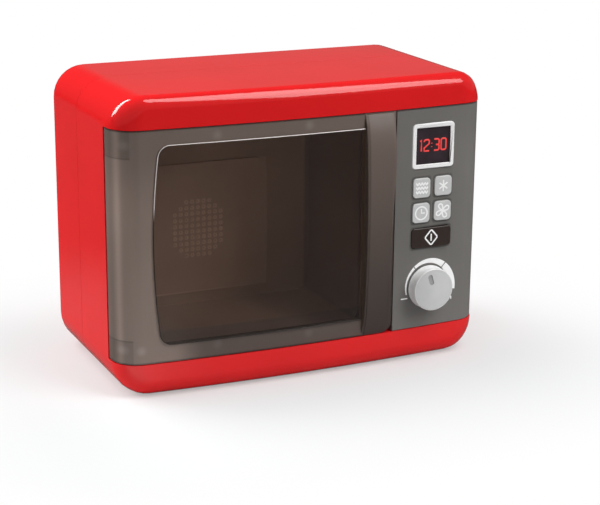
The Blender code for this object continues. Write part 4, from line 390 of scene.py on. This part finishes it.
# Door: one shell of smoky plastic, frosted round a clear window that stands a little proud.
# Its left edge is bowed. Pegs behind the shell show softly through the frosting as lighter spots. The corner
# blocks are painted onto the frosting as soft shadows, and the frame and handle carry more painted light and
# shade.
window_left, window_right, window_low, window_high = -0.1105, 0.0386, 0.0368, 0.1704
window_corner, window_bow, window_bow_end = 0.0072, 0.0046, 0.0390
window_middle, window_half = (window_low + window_high) / 2, (window_high - window_low) / 2
bar_left = 0.0388
peg_blur = 0.0048
peg_spots = ((-0.0666, 0.1748), (-0.0022, 0.1762), (-0.0672, 0.0330), (-0.0014, 0.0324),
             (-0.1275, 0.1715), (-0.1302, 0.0347), (-0.1195, 0.0340))
upper_block_shadow_end, lower_block_shadow_end = (0.1622, 0.1628), (0.0408, 0.0414)
upper_block_shadow_line, lower_block_shadow_line, line_blur = (0.1622, 0.1632), (0.0402, 0.0412), 0.0005
visor_shadow_band, foot_shadow_band, side_turn_shade = (0.1794, 0.1802), (0.0252, 0.0260), (-0.0600, -0.0535)
bar_highlight_strip, bar_shadow_line = (0.0396, 0.0404), (0.0402, 0.0407)


def window_area(tree, place):
    """1 inside the window's bowed outline and 0 outside it."""
    up = sum_of(tree, "ABSOLUTE", sum_of(tree, "SUBTRACT", place[2], window_middle))
    pull = sum_of(tree, "MULTIPLY", sum_of(tree, "POWER", sum_of(tree, "DIVIDE", up, window_half), 2.0),
                  -window_bow / (window_bow_end - window_left))
    inward = sum_of(tree, "DIVIDE", sum_of(tree, "SUBTRACT", window_bow_end, place[0]),
                    sum_of(tree, "ADD", pull, 1.0))
    past = [sum_of(tree, "MAXIMUM", sum_of(tree, "SUBTRACT", value, limit - window_corner), 0.0)
            for value, limit in ((inward, window_bow_end - window_left), (up, window_half))]
    distance = distance_from(tree, past, (0.0, 0.0), axes=(0, 1))
    inside = stepped(tree, distance, window_corner - 0.0001, window_corner + 0.0002, 1.0, 0.0)
    return sum_of(tree, "MULTIPLY", inside, stepped(tree, place[0], window_right, bar_left, 1.0, 0.0))


smoky = bpy.data.materials.new("smoky_plastic_shell")
smoky.use_nodes = True
tree = smoky.node_tree
coords, place = whole_place(tree), places_of(tree)
frost = tree.nodes["Principled BSDF"]
drift = wire(tree, "ShaderNodeTexNoise", {"Vector": coords, "Scale": 9.0, "Detail": 3.0}).outputs[0]
tone = blended(tree, stepped(tree, drift, 0.3, 0.7), (0.198, 0.152, 0.130, 1), (0.222, 0.170, 0.146, 1))
spots = 0.0
for x, z in peg_spots:
    spots = sum_of(tree, "ADD", spots,
                   stepped(tree, distance_from(tree, place, (x, 0, z)), 0.0, peg_blur, 0.40, 0.0))
tree.links.new(blended(tree, spots, tone, (0.36, 0.31, 0.28, 1)), frost.inputs["Base Color"])
behind_side = stepped(tree, place[0], -0.1250, -0.1240, 1.0, 0.0)
# Painted highlight: a narrow lighter band down the door's rounded left corner.
corner_painted_highlight = sum_of(tree, "ADD", 1.0,
                     sum_of(tree, "MULTIPLY", 0.30, band(tree, place[0], -0.1328, -0.1300, 0.0014)))
# Painted shadows of the corner blocks: darker past their ends, with darker lines along their edges.
block_shadow_ends = sum_of(tree, "ADD", stepped(tree, place[2], *upper_block_shadow_end, 0.0, 0.20),
                    stepped(tree, place[2], *lower_block_shadow_end, 0.20, 0.0))
block_shadow_lines = sum_of(tree, "ADD", band(tree, place[2], *upper_block_shadow_line, line_blur),
                     band(tree, place[2], *lower_block_shadow_line, line_blur))
block_painted_shadow = sum_of(tree, "ADD", block_shadow_ends, sum_of(tree, "MULTIPLY", block_shadow_lines, 0.22))
# Painted light and shade: the frame's left part is lighter, the rest darker towards the bottom, and all
# slightly darker towards the top.
left_painted_light = stepped(tree, place[2], 0.120, 0.168, 1.48, 1.24)
under_window = wire(tree, "ShaderNodeMix", {0: stepped(tree, place[0], -0.100, -0.075), 2: left_painted_light,
                                            3: stepped(tree, place[2], 0.02, 0.09, 0.62, 1.22)}).outputs[0]
frame_shade = sum_of(tree, "MULTIPLY", under_window, stepped(tree, place[2], 0.10, 0.175, 1.0, 0.90))
# Painted highlight down the rounded left edge, stronger towards the top.
left_round_painted_highlight = sum_of(tree, "MULTIPLY", stepped(tree, place[0], -0.134, -0.120, 1.0, 0.0),
                    stepped(tree, place[2], 0.070, 0.155, 0.05, 0.48))
frame_shade = sum_of(tree, "MULTIPLY", frame_shade, sum_of(tree, "ADD", 1.0, left_round_painted_highlight))
# Painted shadow lines under the visor and along the door's foot, and painted shade on the side where the door
# wraps round.
for factor in (stepped(tree, place[2], *visor_shadow_band, 1.0, 0.5),
               stepped(tree, place[2], *foot_shadow_band, 0.5, 1.0),
               stepped(tree, place[1], *side_turn_shade, 1.0, 0.62), corner_painted_highlight,
               sum_of(tree, "SUBTRACT", 1.0, sum_of(tree, "MULTIPLY", block_painted_shadow, behind_side))):
    frame_shade = sum_of(tree, "MULTIPLY", frame_shade, factor)
# Handle: painted shade darker towards the bottom, a painted highlight strip at its left edge and a painted
# shadow line beside it.
bar_shade = sum_of(tree, "MULTIPLY", stepped(tree, place[2], 0.03, 0.18, 0.31, 1.04),
                   stepped(tree, place[0], *bar_highlight_strip, 1.35, 1.0))
bar_shade = sum_of(tree, "SUBTRACT", bar_shade,
                   sum_of(tree, "MULTIPLY", 0.22, band(tree, place[0], *bar_shadow_line, 0.0003)))
on_bar = stepped(tree, place[0], bar_left, bar_left + 0.0004)
shade_by(smoky, wire(tree, "ShaderNodeMix", {0: on_bar, 2: frame_shade, 3: bar_shade}).outputs[0])
grain = wire(tree, "ShaderNodeTexNoise", {"Vector": coords, "Scale": 1500.0, "Detail": 2.0}).outputs[0]
tree.links.new(stepped(tree, grain, 0.3, 0.7, 0.34, 0.44), frost.inputs["Roughness"])
bump = wire(tree, "ShaderNodeBump", {"Strength": 1.0, "Distance": 0.00003, "Height": grain})
tree.links.new(bump.outputs["Normal"], frost.inputs["Normal"])
frost_through = wire(tree, "ShaderNodeBsdfTransparent", {"Color": (0.62, 0.50, 0.42, 1)})
frosted = wire(tree, "ShaderNodeMixShader", {0: 0.72, 1: frost_through.outputs[0], 2: frost.outputs[0]})
# Painted shade: the clear window is darker and greyer along its foot.
low_painted_shade = stepped(tree, place[2], 0.0452, 0.0478, 1.0, 0.0)
clear_tone = blended(tree, low_painted_shade, (0.85, 0.70, 0.62, 1), (0.68, 0.61, 0.59, 1))
clear_through = wire(tree, "ShaderNodeBsdfTransparent", {"Color": clear_tone})
shine = wire(tree, "ShaderNodeBsdfGlossy", {"Color": (1, 1, 1, 1), "Roughness": 0.06})
bounce = wire(tree, "ShaderNodeFresnel", {"IOR": 1.35}).outputs[0]
hazy = wire(tree, "ShaderNodeMixShader", {0: 0.06, 1: clear_through.outputs[0], 2: frost.outputs[0]})
clear = wire(tree, "ShaderNodeMixShader", {0: bounce, 1: hazy.outputs[0], 2: shine.outputs[0]})
both = wire(tree, "ShaderNodeMixShader", {0: window_area(tree, place), 1: frosted.outputs[0],
                                          2: clear.outputs[0]})
tree.links.new(both.outputs[0], tree.nodes["Material Output"].inputs["Surface"])

smoky_back = bpy.data.materials.new("smoky_plastic_back")
smoky_back.use_nodes = True
tree = smoky_back.node_tree
core = tree.nodes["Principled BSDF"]
mist = wire(tree, "ShaderNodeTexNoise",
            {"Vector": whole_place(tree), "Scale": 40.0, "Detail": 2.0}).outputs[0]
tree.links.new(blended(tree, mist, (0.10, 0.085, 0.075, 1), (0.14, 0.115, 0.10, 1)),
               core.inputs["Base Color"])
core.inputs["Roughness"].default_value = 0.3
through = wire(tree, "ShaderNodeBsdfTransparent", {"Color": (0.97, 0.96, 0.95, 1)})
thin = wire(tree, "ShaderNodeMixShader", {0: stepped(tree, mist, 0.2, 0.8, 0.08, 0.14),
                                          1: through.outputs[0], 2: core.outputs[0]})
tree.links.new(thin.outputs[0], tree.nodes["Material Output"].inputs["Surface"])

door = dressed("smoky_door", "door_shell", "door", smoky, whole_faces=True)
door.data.materials.append(smoky_back)
casing_middle = Vector((0, 0.02, 0.1))
for face in door.data.polygons:
    if face.normal.dot(face.center - casing_middle) < 0:
        face.material_index = 1

# Window bead: the polished edge of the raised window, moulded in one with the door.
# Along its top and the upper part of its left side it carries a painted highlight, a paler colour that is
# fainter near the upper left corner.


def drawn(name, strokes, width, height, middle, body, finish, bowed=False):
    """Raised line work from strokes of (across, up) points, each open or closed."""
    curve = bpy.data.curves.new(name, "CURVE")
    curve.dimensions = "3D"
    curve.bevel_depth = width / 2
    curve.bevel_resolution = 2
    curve.use_fill_caps = True
    for points, closed in strokes:
        spline = curve.splines.new("POLY")
        spline.points.add(len(points) - 1)
        for point, (across, up) in zip(spline.points, points):
            point.co = (across, 0, up, 1)
        spline.use_cyclic_u = closed
    holder = bpy.data.objects.new(name, curve)
    bpy.context.scene.collection.objects.link(holder)
    bpy.context.view_layer.update()
    mesh = bpy.data.meshes.new_from_object(holder.evaluated_get(bpy.context.evaluated_depsgraph_get()))
    bpy.data.objects.remove(holder)
    mesh.transform(Matrix.Translation(middle) @ Matrix.Diagonal((1, 2 * height / width, 1, 1)))
    mesh.materials.append(finish)
    printed(name, mesh, body, bowed)


def printed(name, mesh, body, bowed=False):
    """Put a printed mesh on its body, bent along the bowed front if it lies on it."""
    if bowed:
        for vert in mesh.vertices:
            vert.co.y += front_bow * (vert.co.x / half_width) ** 2
    mesh.shade_smooth()
    mesh.set_sharp_from_angle(angle=print_crease)
    piece = bpy.data.objects.new(name, mesh)
    bpy.context.scene.collection.objects.link(piece)
    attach(piece, body)


print_crease = math.radians(18)
front_y, front_bow, half_width, skin_set, window_rise = -0.07215, 0.0061, 0.135, 0.0004, 0.0008
bead_width, bead_sunk = 0.0006, 0.0001
along_steps, corner_steps, upright_steps = 20, 6, 16
bead = moulded("bead_smoky", (0.030, 0.025, 0.022), roughness=(0.10, 0.16), patch=60.0)
tree = bead.node_tree
place = places_of(tree)
along_top = stepped(tree, place[2], window_high - 0.0012, window_high - 0.0006)
up_side = sum_of(tree, "MULTIPLY", stepped(tree, place[0], -0.0990, -0.0970, 1.0, 0.0),
                 stepped(tree, place[2], 0.1200, 0.1320))
bead_base = tree.nodes["Principled BSDF"].inputs["Base Color"]
off_corner = stepped(tree, distance_from(tree, place, (window_left, 0, window_high)), 0.003, 0.009, 0.30, 1.0)
bead_painted_highlight = sum_of(tree, "MULTIPLY", sum_of(tree, "MAXIMUM", along_top, up_side), off_corner)
tree.links.new(blended(tree, bead_painted_highlight, bead_base.links[0].from_socket, (0.80, 0.75, 0.72, 1)), bead_base)
outline = []
for step in range(along_steps + 1):
    outline.append((window_right + (window_left + window_corner - window_right) * step / along_steps,
                    window_high))
for step in range(1, corner_steps + 1):
    angle = math.pi / 2 * (1 + step / corner_steps)
    outline.append((window_left + window_corner * (1 + math.cos(angle)),
                    window_high - window_corner * (1 - math.sin(angle))))
for step in range(1, upright_steps):
    outline.append((window_left, window_high - window_corner
                    + (window_low + 2 * window_corner - window_high) * step / upright_steps))
for step in range(corner_steps + 1):
    angle = math.pi * (1 + step / (2 * corner_steps))
    outline.append((window_left + window_corner * (1 + math.cos(angle)),
                    window_low + window_corner * (1 + math.sin(angle))))
for step in range(1, along_steps + 1):
    outline.append((window_left + window_corner
                    + (window_right - window_left - window_corner) * step / along_steps, window_low))
edge_line = [(x + window_bow * ((z - window_middle) / window_half) ** 2 * (window_bow_end - x)
              / (window_bow_end - window_left), z) for x, z in outline]
drawn("window_bead", [(edge_line, False)], bead_width, bead_width / 2,
      (0, front_y + skin_set - window_rise + bead_sunk, 0), "door", bead, bowed=True)

# Door hardware: a stiffening frame on the pegs, two corner blocks with steel hinge pins,
# and the catch that snaps into a clip beside the cavity.
smoky_inner = moulded("smoky_inner", (0.16, 0.135, 0.12), roughness=(0.40, 0.50), patch=20.0)
pin_steel = moulded("pin_steel", (0.60, 0.60, 0.61), roughness=(0.22, 0.32), grain=900.0, metallic=1.0,
                    stretch=(1, 1, 0.05))
dressed("door_stiffener", "door_inner_frame", "door", smoky_inner)
for name in ("upper_hinge", "lower_hinge"):
    dressed(name + "_corner", name + "_block", "door", satin_black)
    dressed(name + "_steel", name + "_pin", "door", pin_steel)
dressed("catch_tongue", "door_catch", "door", satin_black)
dressed("catch_spring_clip", "catch_clip", "casing", satin_black)

# Key board, chip and mat: a rubber sheet with domes lies on a laminate board with printed
# tracks, and a potted sound chip sits on the board's back. Two screws hold the board.
laminate = moulded("laminate", (0.030, 0.17, 0.070), roughness=(0.30, 0.42), patch=40.0, grain=1600.0)
tree = laminate.node_tree
tracks = wire(tree, "ShaderNodeTexWave", {"Vector": whole_place(tree), "Scale": 95.0, "Distortion": 6.0,
                                          "Detail": 0.0})
shade_by(laminate, stepped(tree, tracks.outputs[1], 0.46, 0.54, 0.75, 1.5))
dressed("track_board", "key_board", "casing", laminate)
dressed("potted_chip", "sound_chip", "casing", satin_black, edge=0.0004)
mat_rubber = moulded("mat_rubber", (0.20, 0.21, 0.22), roughness=(0.70, 0.85), patch=60.0)
dressed("rubber_mat", "key_mat", "casing", mat_rubber)

# Control panel: satin grey plastic right of the door, with openings for the keys and display.
# Fine moulded texture keeps it duller than the red casing; two screws hold it from behind.
panel_grey = moulded("panel_grey", (0.160, 0.152, 0.142), roughness=(0.36, 0.46), grain=1200.0)
key_round, key_gap_shade = 0.0022, 0.0005
tree = panel_grey.node_tree
place = places_of(tree)
# Painted shade: the panel is darker in a narrow ring round each key opening.
gap_painted_shade = 0.0
for node in ("waves_key", "defrost_key", "clock_key", "fan_key", "start_key"):
    low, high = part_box(node)
    past = []
    for axis in (0, 2):
        middle, half = (low[axis] + high[axis]) / 2, (high[axis] - low[axis]) / 2 - key_round
        off = sum_of(tree, "ABSOLUTE", sum_of(tree, "SUBTRACT", place[axis], middle))
        past.append(sum_of(tree, "MAXIMUM", sum_of(tree, "SUBTRACT", off, half), 0.0))
    beyond = distance_from(tree, past, (0.0, 0.0), axes=(0, 1))
    gap_painted_shade = sum_of(tree, "ADD", gap_painted_shade,
                      stepped(tree, beyond, key_round, key_round + key_gap_shade, 0.35, 0.0))
# Painted light and shade: lighter towards the top and the right, with a painted shadow line under the visor.
panel_shade = sum_of(tree, "MULTIPLY", stepped(tree, place[2], 0.05, 0.17, 0.97, 1.05),
                     stepped(tree, place[0], 0.075, 0.132, 1.0, 1.08))
panel_shade = sum_of(tree, "MULTIPLY", sum_of(tree, "SUBTRACT", panel_shade, gap_painted_shade),
                     stepped(tree, place[2], 0.1794, 0.1801, 1.0, 0.5))
shade_by(panel_grey, panel_shade)
panel_base = tree.nodes["Principled BSDF"].inputs["Base Color"]
# Painted reflection: a dark red band along the right edge, where the red casing mirrors in it.
red_painted_reflection = sum_of(tree, "MULTIPLY", stepped(tree, place[0], 0.1318, 0.1334), 0.6)
tree.links.new(blended(tree, red_painted_reflection, panel_base.links[0].from_socket, (0.16, 0.030, 0.028, 1)), panel_base)
dressed("key_panel", "control_panel", "casing", panel_grey, whole_faces=True)

# Display: a pale surround clipped through the panel, with a black screen behind its lip.
# The red digits are printed on the front of the screen and given a painted glow that stands for lit segments.
white_satin = moulded("white_satin", (0.97, 0.96, 0.96), roughness=(0.26, 0.34), spread=0.02)
dressed("display_surround", "display_frame", "casing", white_satin, edge=0.0005)
screen_black = moulded("screen_black", (0.042, 0.030, 0.036), roughness=(0.10, 0.14), patch=60.0, spread=0.2)
dressed("display_glass", "display_screen", "casing", screen_black)
digit_red = moulded("digit_red", (0.60, 0.045, 0.040), roughness=(0.3, 0.4), spread=0.10, patch=300.0)
digit_glow_shader = digit_red.node_tree.nodes["Principled BSDF"]
digit_glow_shader.inputs["Emission Color"].default_value = (1.0, 0.06, 0.055, 1)
digit_glow_shader.inputs["Emission Strength"].default_value = 0.40
digit_stroke, digit_rise, digit_lift = 0.0012, 0.00012, 0.0002
w, h, c = 0.0019, 0.0039, 0.0008    # half a figure's width and height, and its corner cut
figures = {
    "1": [([(-w * 0.5, h * 0.74), (0, h), (0, -h)], False)],
    "2": [([(-w, h * 0.62), (-w, h - c), (c - w, h), (w - c, h), (w, h - c), (w, h * 0.30),
            (-w, -h * 0.45), (-w, -h), (w, -h)], False)],
    "3": [([(-w, h), (w - c, h), (w, h - c), (w, c * 0.8), (w - c, 0), (-w * 0.3, 0)], False),
          ([(w - c, 0), (w, -c * 0.8), (w, c - h), (w - c, -h), (-w, -h)], False)],
    "0": [([(c - w, h), (w - c, h), (w, h - c), (w, c - h), (w - c, -h), (c - w, -h), (-w, c - h),
            (-w, h - c)], True)],
    ":": [([(0, h * 0.36), (0, h * 0.26)], False), ([(0, -h * 0.26), (0, -h * 0.36)], False)],
}
screen_low, screen_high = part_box("display_screen")
display_middle = (screen_low + screen_high) / 2
digits = []
for figure, across in (("1", -0.0088), ("2", -0.0047), (":", -0.0008), ("3", 0.0030), ("0", 0.0084)):
    for points, closed in figures[figure]:
        digits.append(([(x + across, z) for x, z in points], closed))
drawn("display_digits", digits, digit_stroke, digit_rise,
      (display_middle.x, screen_low.y, display_middle.z + digit_lift), "casing", digit_red)

# Keys: four satin grey caps with white pictures, and a wide black start key. Each slides
# in through the panel onto a rubber dome, so its picture rides with it.
key_grey = moulded("key_grey", (0.63, 0.63, 0.625), roughness=(0.34, 0.42), grain=1000.0, spread=0.03)
mark_white = moulded("mark_white", (0.99, 0.99, 0.99), roughness=(0.4, 0.5), spread=0.02)
picture_stroke, picture_rise = 0.0011, 0.0001
wave_half, wave_pitch, wave_swing, wave_steps = 0.0046, 0.0029, 0.00075, 32
wave_rows = []
for row in (-1, 0, 1):
    points = [(-wave_half + 2 * wave_half * step / wave_steps,
               row * wave_pitch + wave_swing * math.cos(math.pi * step / 4))
              for step in range(wave_steps + 1)]
    wave_rows.append((points, False))
star = []
for turn, reach in ((90, 0.0040), (34, 0.0038), (146, 0.0038)):
    across, up = math.cos(math.radians(turn)) * reach, math.sin(math.radians(turn)) * reach
    star.append(([(across, up), (-across, -up)], False))
clock_radius, long_hand, short_hand = 0.0045, 0.0030, 0.0026
ring = [(clock_radius * math.cos(math.radians(step * 10)), clock_radius * math.sin(math.radians(step * 10)))
        for step in range(36)]
clock = [(ring, True), ([(0, long_hand), (0, 0), (short_hand, 0)], False)]
blade_steps, blade_middle, blade_half, blade_bulge, blade_lean = 18, 0.0029, 0.0024, 0.0017, 0.0004
blade_root, blade_growth, blade_reach = 0.45, 0.65, 0.0050
blades = []
for quarter in range(4):
    turn = math.radians(22 + quarter * 90)
    loop = []
    for step in range(blade_steps):
        angle = 2 * math.pi * step / blade_steps
        along = blade_middle + blade_half * math.cos(angle)
        side = blade_bulge * math.sin(angle) + blade_lean
        side *= blade_root + blade_growth * along / blade_reach
        loop.append((along * math.cos(turn) - side * math.sin(turn),
                     along * math.sin(turn) + side * math.cos(turn)))
    blades.append((loop, True))
pictures = {"waves_key": wave_rows, "defrost_key": star, "clock_key": clock, "fan_key": blades}
for name, strokes in pictures.items():
    dressed(name + "_cap", name, name, key_grey)
    low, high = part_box(name)
    drawn(name + "_picture", strokes, picture_stroke, picture_rise,
          ((low.x + high.x) / 2, low.y, (low.z + high.z) / 2), name, mark_white)
start_black = moulded("start_black", (0.042, 0.030, 0.026), roughness=(0.14, 0.20), shine=0.4)
dressed("start_key_cap", "start_key", "start_key", start_black)
low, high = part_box("start_key")
diamond_across, diamond_up, corner_share, bar_up = 0.0050, 0.0056, 0.17, 0.0025
diamond = []
corners = [Vector(corner) for corner in ((diamond_across, 0), (0, diamond_up), (-diamond_across, 0),
                                         (0, -diamond_up))]
for before, corner, after in zip(corners[-1:] + corners[:-1], corners, corners[1:] + corners[:1]):
    first, last = corner.lerp(before, corner_share), corner.lerp(after, corner_share)
    for share in (0, 0.25, 0.5, 0.75, 1):
        point = first * (1 - share) ** 2 + corner * 2 * share * (1 - share) + last * share ** 2
        diamond.append((point.x, point.y))
drawn("start_key_picture", [(diamond, True), ([(0, bar_up), (0, -bar_up)], False)], picture_stroke,
      picture_rise, ((low.x + high.x) / 2, low.y, (low.z + high.z) / 2), "start_key",
      mark_white)

# Timer: a silver knob on a shaft, over a white scale that grows wider as the time gets longer.
# The scale is printed in three lengths, with a dash at its start and a short tick at its end.
knob_low, knob_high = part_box("timer_knob")
knob_middle = (knob_low + knob_high) / 2
knob_silver = moulded("knob_silver", (0.80, 0.80, 0.80), roughness=(0.28, 0.36), metallic=0.20, grain=500.0,
                      stretch=(0.08, 1, 1), spread=0.06, patch=40.0)
groove_depth, groove_reach, face_rim = (0.0003, 0.0005), (0.0128, 0.0130), (0.0143, 0.0148)
tree = knob_silver.node_tree
place = places_of(tree)
off_middle = distance_from(tree, place, knob_middle)
# Painted light and shade: the knob's side is lighter than its face, the face is darker towards the left, and
# the recessed middle and pointer slot are darker as painted shade.
groove_painted_shade = sum_of(tree, "MULTIPLY",
                   stepped(tree, place[1], knob_low.y + groove_depth[0], knob_low.y + groove_depth[1]),
                   stepped(tree, off_middle, *groove_reach, 0.32, 0.0))
on_face = stepped(tree, off_middle, *face_rim, 1.0, 0.0)
face_painted_shade = stepped(tree, place[0], knob_middle.x - 0.012, knob_middle.x + 0.010, 0.80, 0.94)
face_shade = wire(tree, "ShaderNodeMix", {0: on_face, 2: 1.20, 3: face_painted_shade}).outputs[0]
shade_by(knob_silver, sum_of(tree, "SUBTRACT", face_shade, groove_painted_shade))
dressed("silver_knob", "timer_knob", "timer", knob_silver)
scale_start, scale_end = math.radians(195), math.radians(-13)
scale_gaps = (math.radians(126), math.radians(46))
scale_inner, scale_thin, scale_wide, scale_swell = 0.0166, 0.0010, 0.0072, 1.6
print_thickness, print_proud = 0.00025, 0.00008


def scale_length(name, first, last):
    """One length of the scale: a radial edge spun round the knob, then widened along its way."""
    bm = bmesh.new()
    ends = [bm.verts.new((math.cos(first) * reach, 0, math.sin(first) * reach)) for reach in (1, 2)]
    edge = bm.edges.new(ends)
    bmesh.ops.spin(bm, geom=ends + [edge], cent=(0, 0, 0), axis=(0, 1, 0), angle=first - last, steps=28)
    for vert in bm.verts:
        angle = math.atan2(vert.co.z, vert.co.x)
        angle += math.tau if angle < scale_end - 0.01 else 0
        share = max(0.0, (scale_start - angle) / (scale_start - scale_end))
        outer = vert.co.length > 1.5
        reach = scale_inner + (scale_thin + (scale_wide - scale_thin) * share ** scale_swell if outer else 0)
        vert.co = vert.co.normalized() * reach
    grown = bmesh.ops.extrude_face_region(bm, geom=list(bm.faces))
    lifted = [item for item in grown["geom"] if isinstance(item, bmesh.types.BMVert)]
    bmesh.ops.translate(bm, verts=lifted, vec=(0, print_thickness, 0))
    bmesh.ops.recalc_face_normals(bm, faces=bm.faces)
    bmesh.ops.translate(bm, verts=bm.verts,
                        vec=(knob_middle.x, front_y + skin_set - print_proud, knob_middle.z))
    mesh = bpy.data.meshes.new(name)
    bm.to_mesh(mesh)
    bm.free()
    mesh.materials.append(mark_white)
    printed(name, mesh, "casing", bowed=True)


half_gap = math.radians(1.2)
scale_length("timer_scale_1", scale_start, scale_gaps[0] + half_gap)
scale_length("timer_scale_2", scale_gaps[0] - half_gap, scale_gaps[1] + half_gap)
scale_length("timer_scale_3", scale_gaps[1] - half_gap, scale_end)
mark_stroke, mark_rise = 0.0009, 0.00012
for name, points in (("timer_dash", [(0.0697, 0.0466), (0.0722, 0.0466), (0.0750, 0.0466)]),
                     ("timer_tick", [(0.1111, 0.0413), (0.1110, 0.0434)])):
    drawn(name, [(points, False)], mark_stroke, mark_rise, (0, front_y + skin_set, 0), "casing",
          mark_white, bowed=True)

# Timer works behind the panel: the shaft with its click wheel, the steel click spring and
# the bearing bracket that two screws hold.
dressed("timer_shaft", "knob_shaft", "timer", satin_black)
dressed("timer_click_wheel", "click_wheel", "timer", satin_black)
dressed("timer_click_spring", "click_spring", "casing", pressed_steel)
dressed("timer_bracket", "shaft_bracket", "casing", satin_black)

# Screws: plated steel with turned heads and cross recesses. They join the casing halves, the
# liner, the panel, the key board and the battery cover.
screw_steel = moulded("screw_steel", (0.54, 0.54, 0.56), roughness=(0.26, 0.38), grain=800.0, metallic=1.0)
for node in sorted(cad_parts):
    if "_screw" in node:
        dressed(node + "_plated", node, "casing", screw_steel, edge=0.0001)
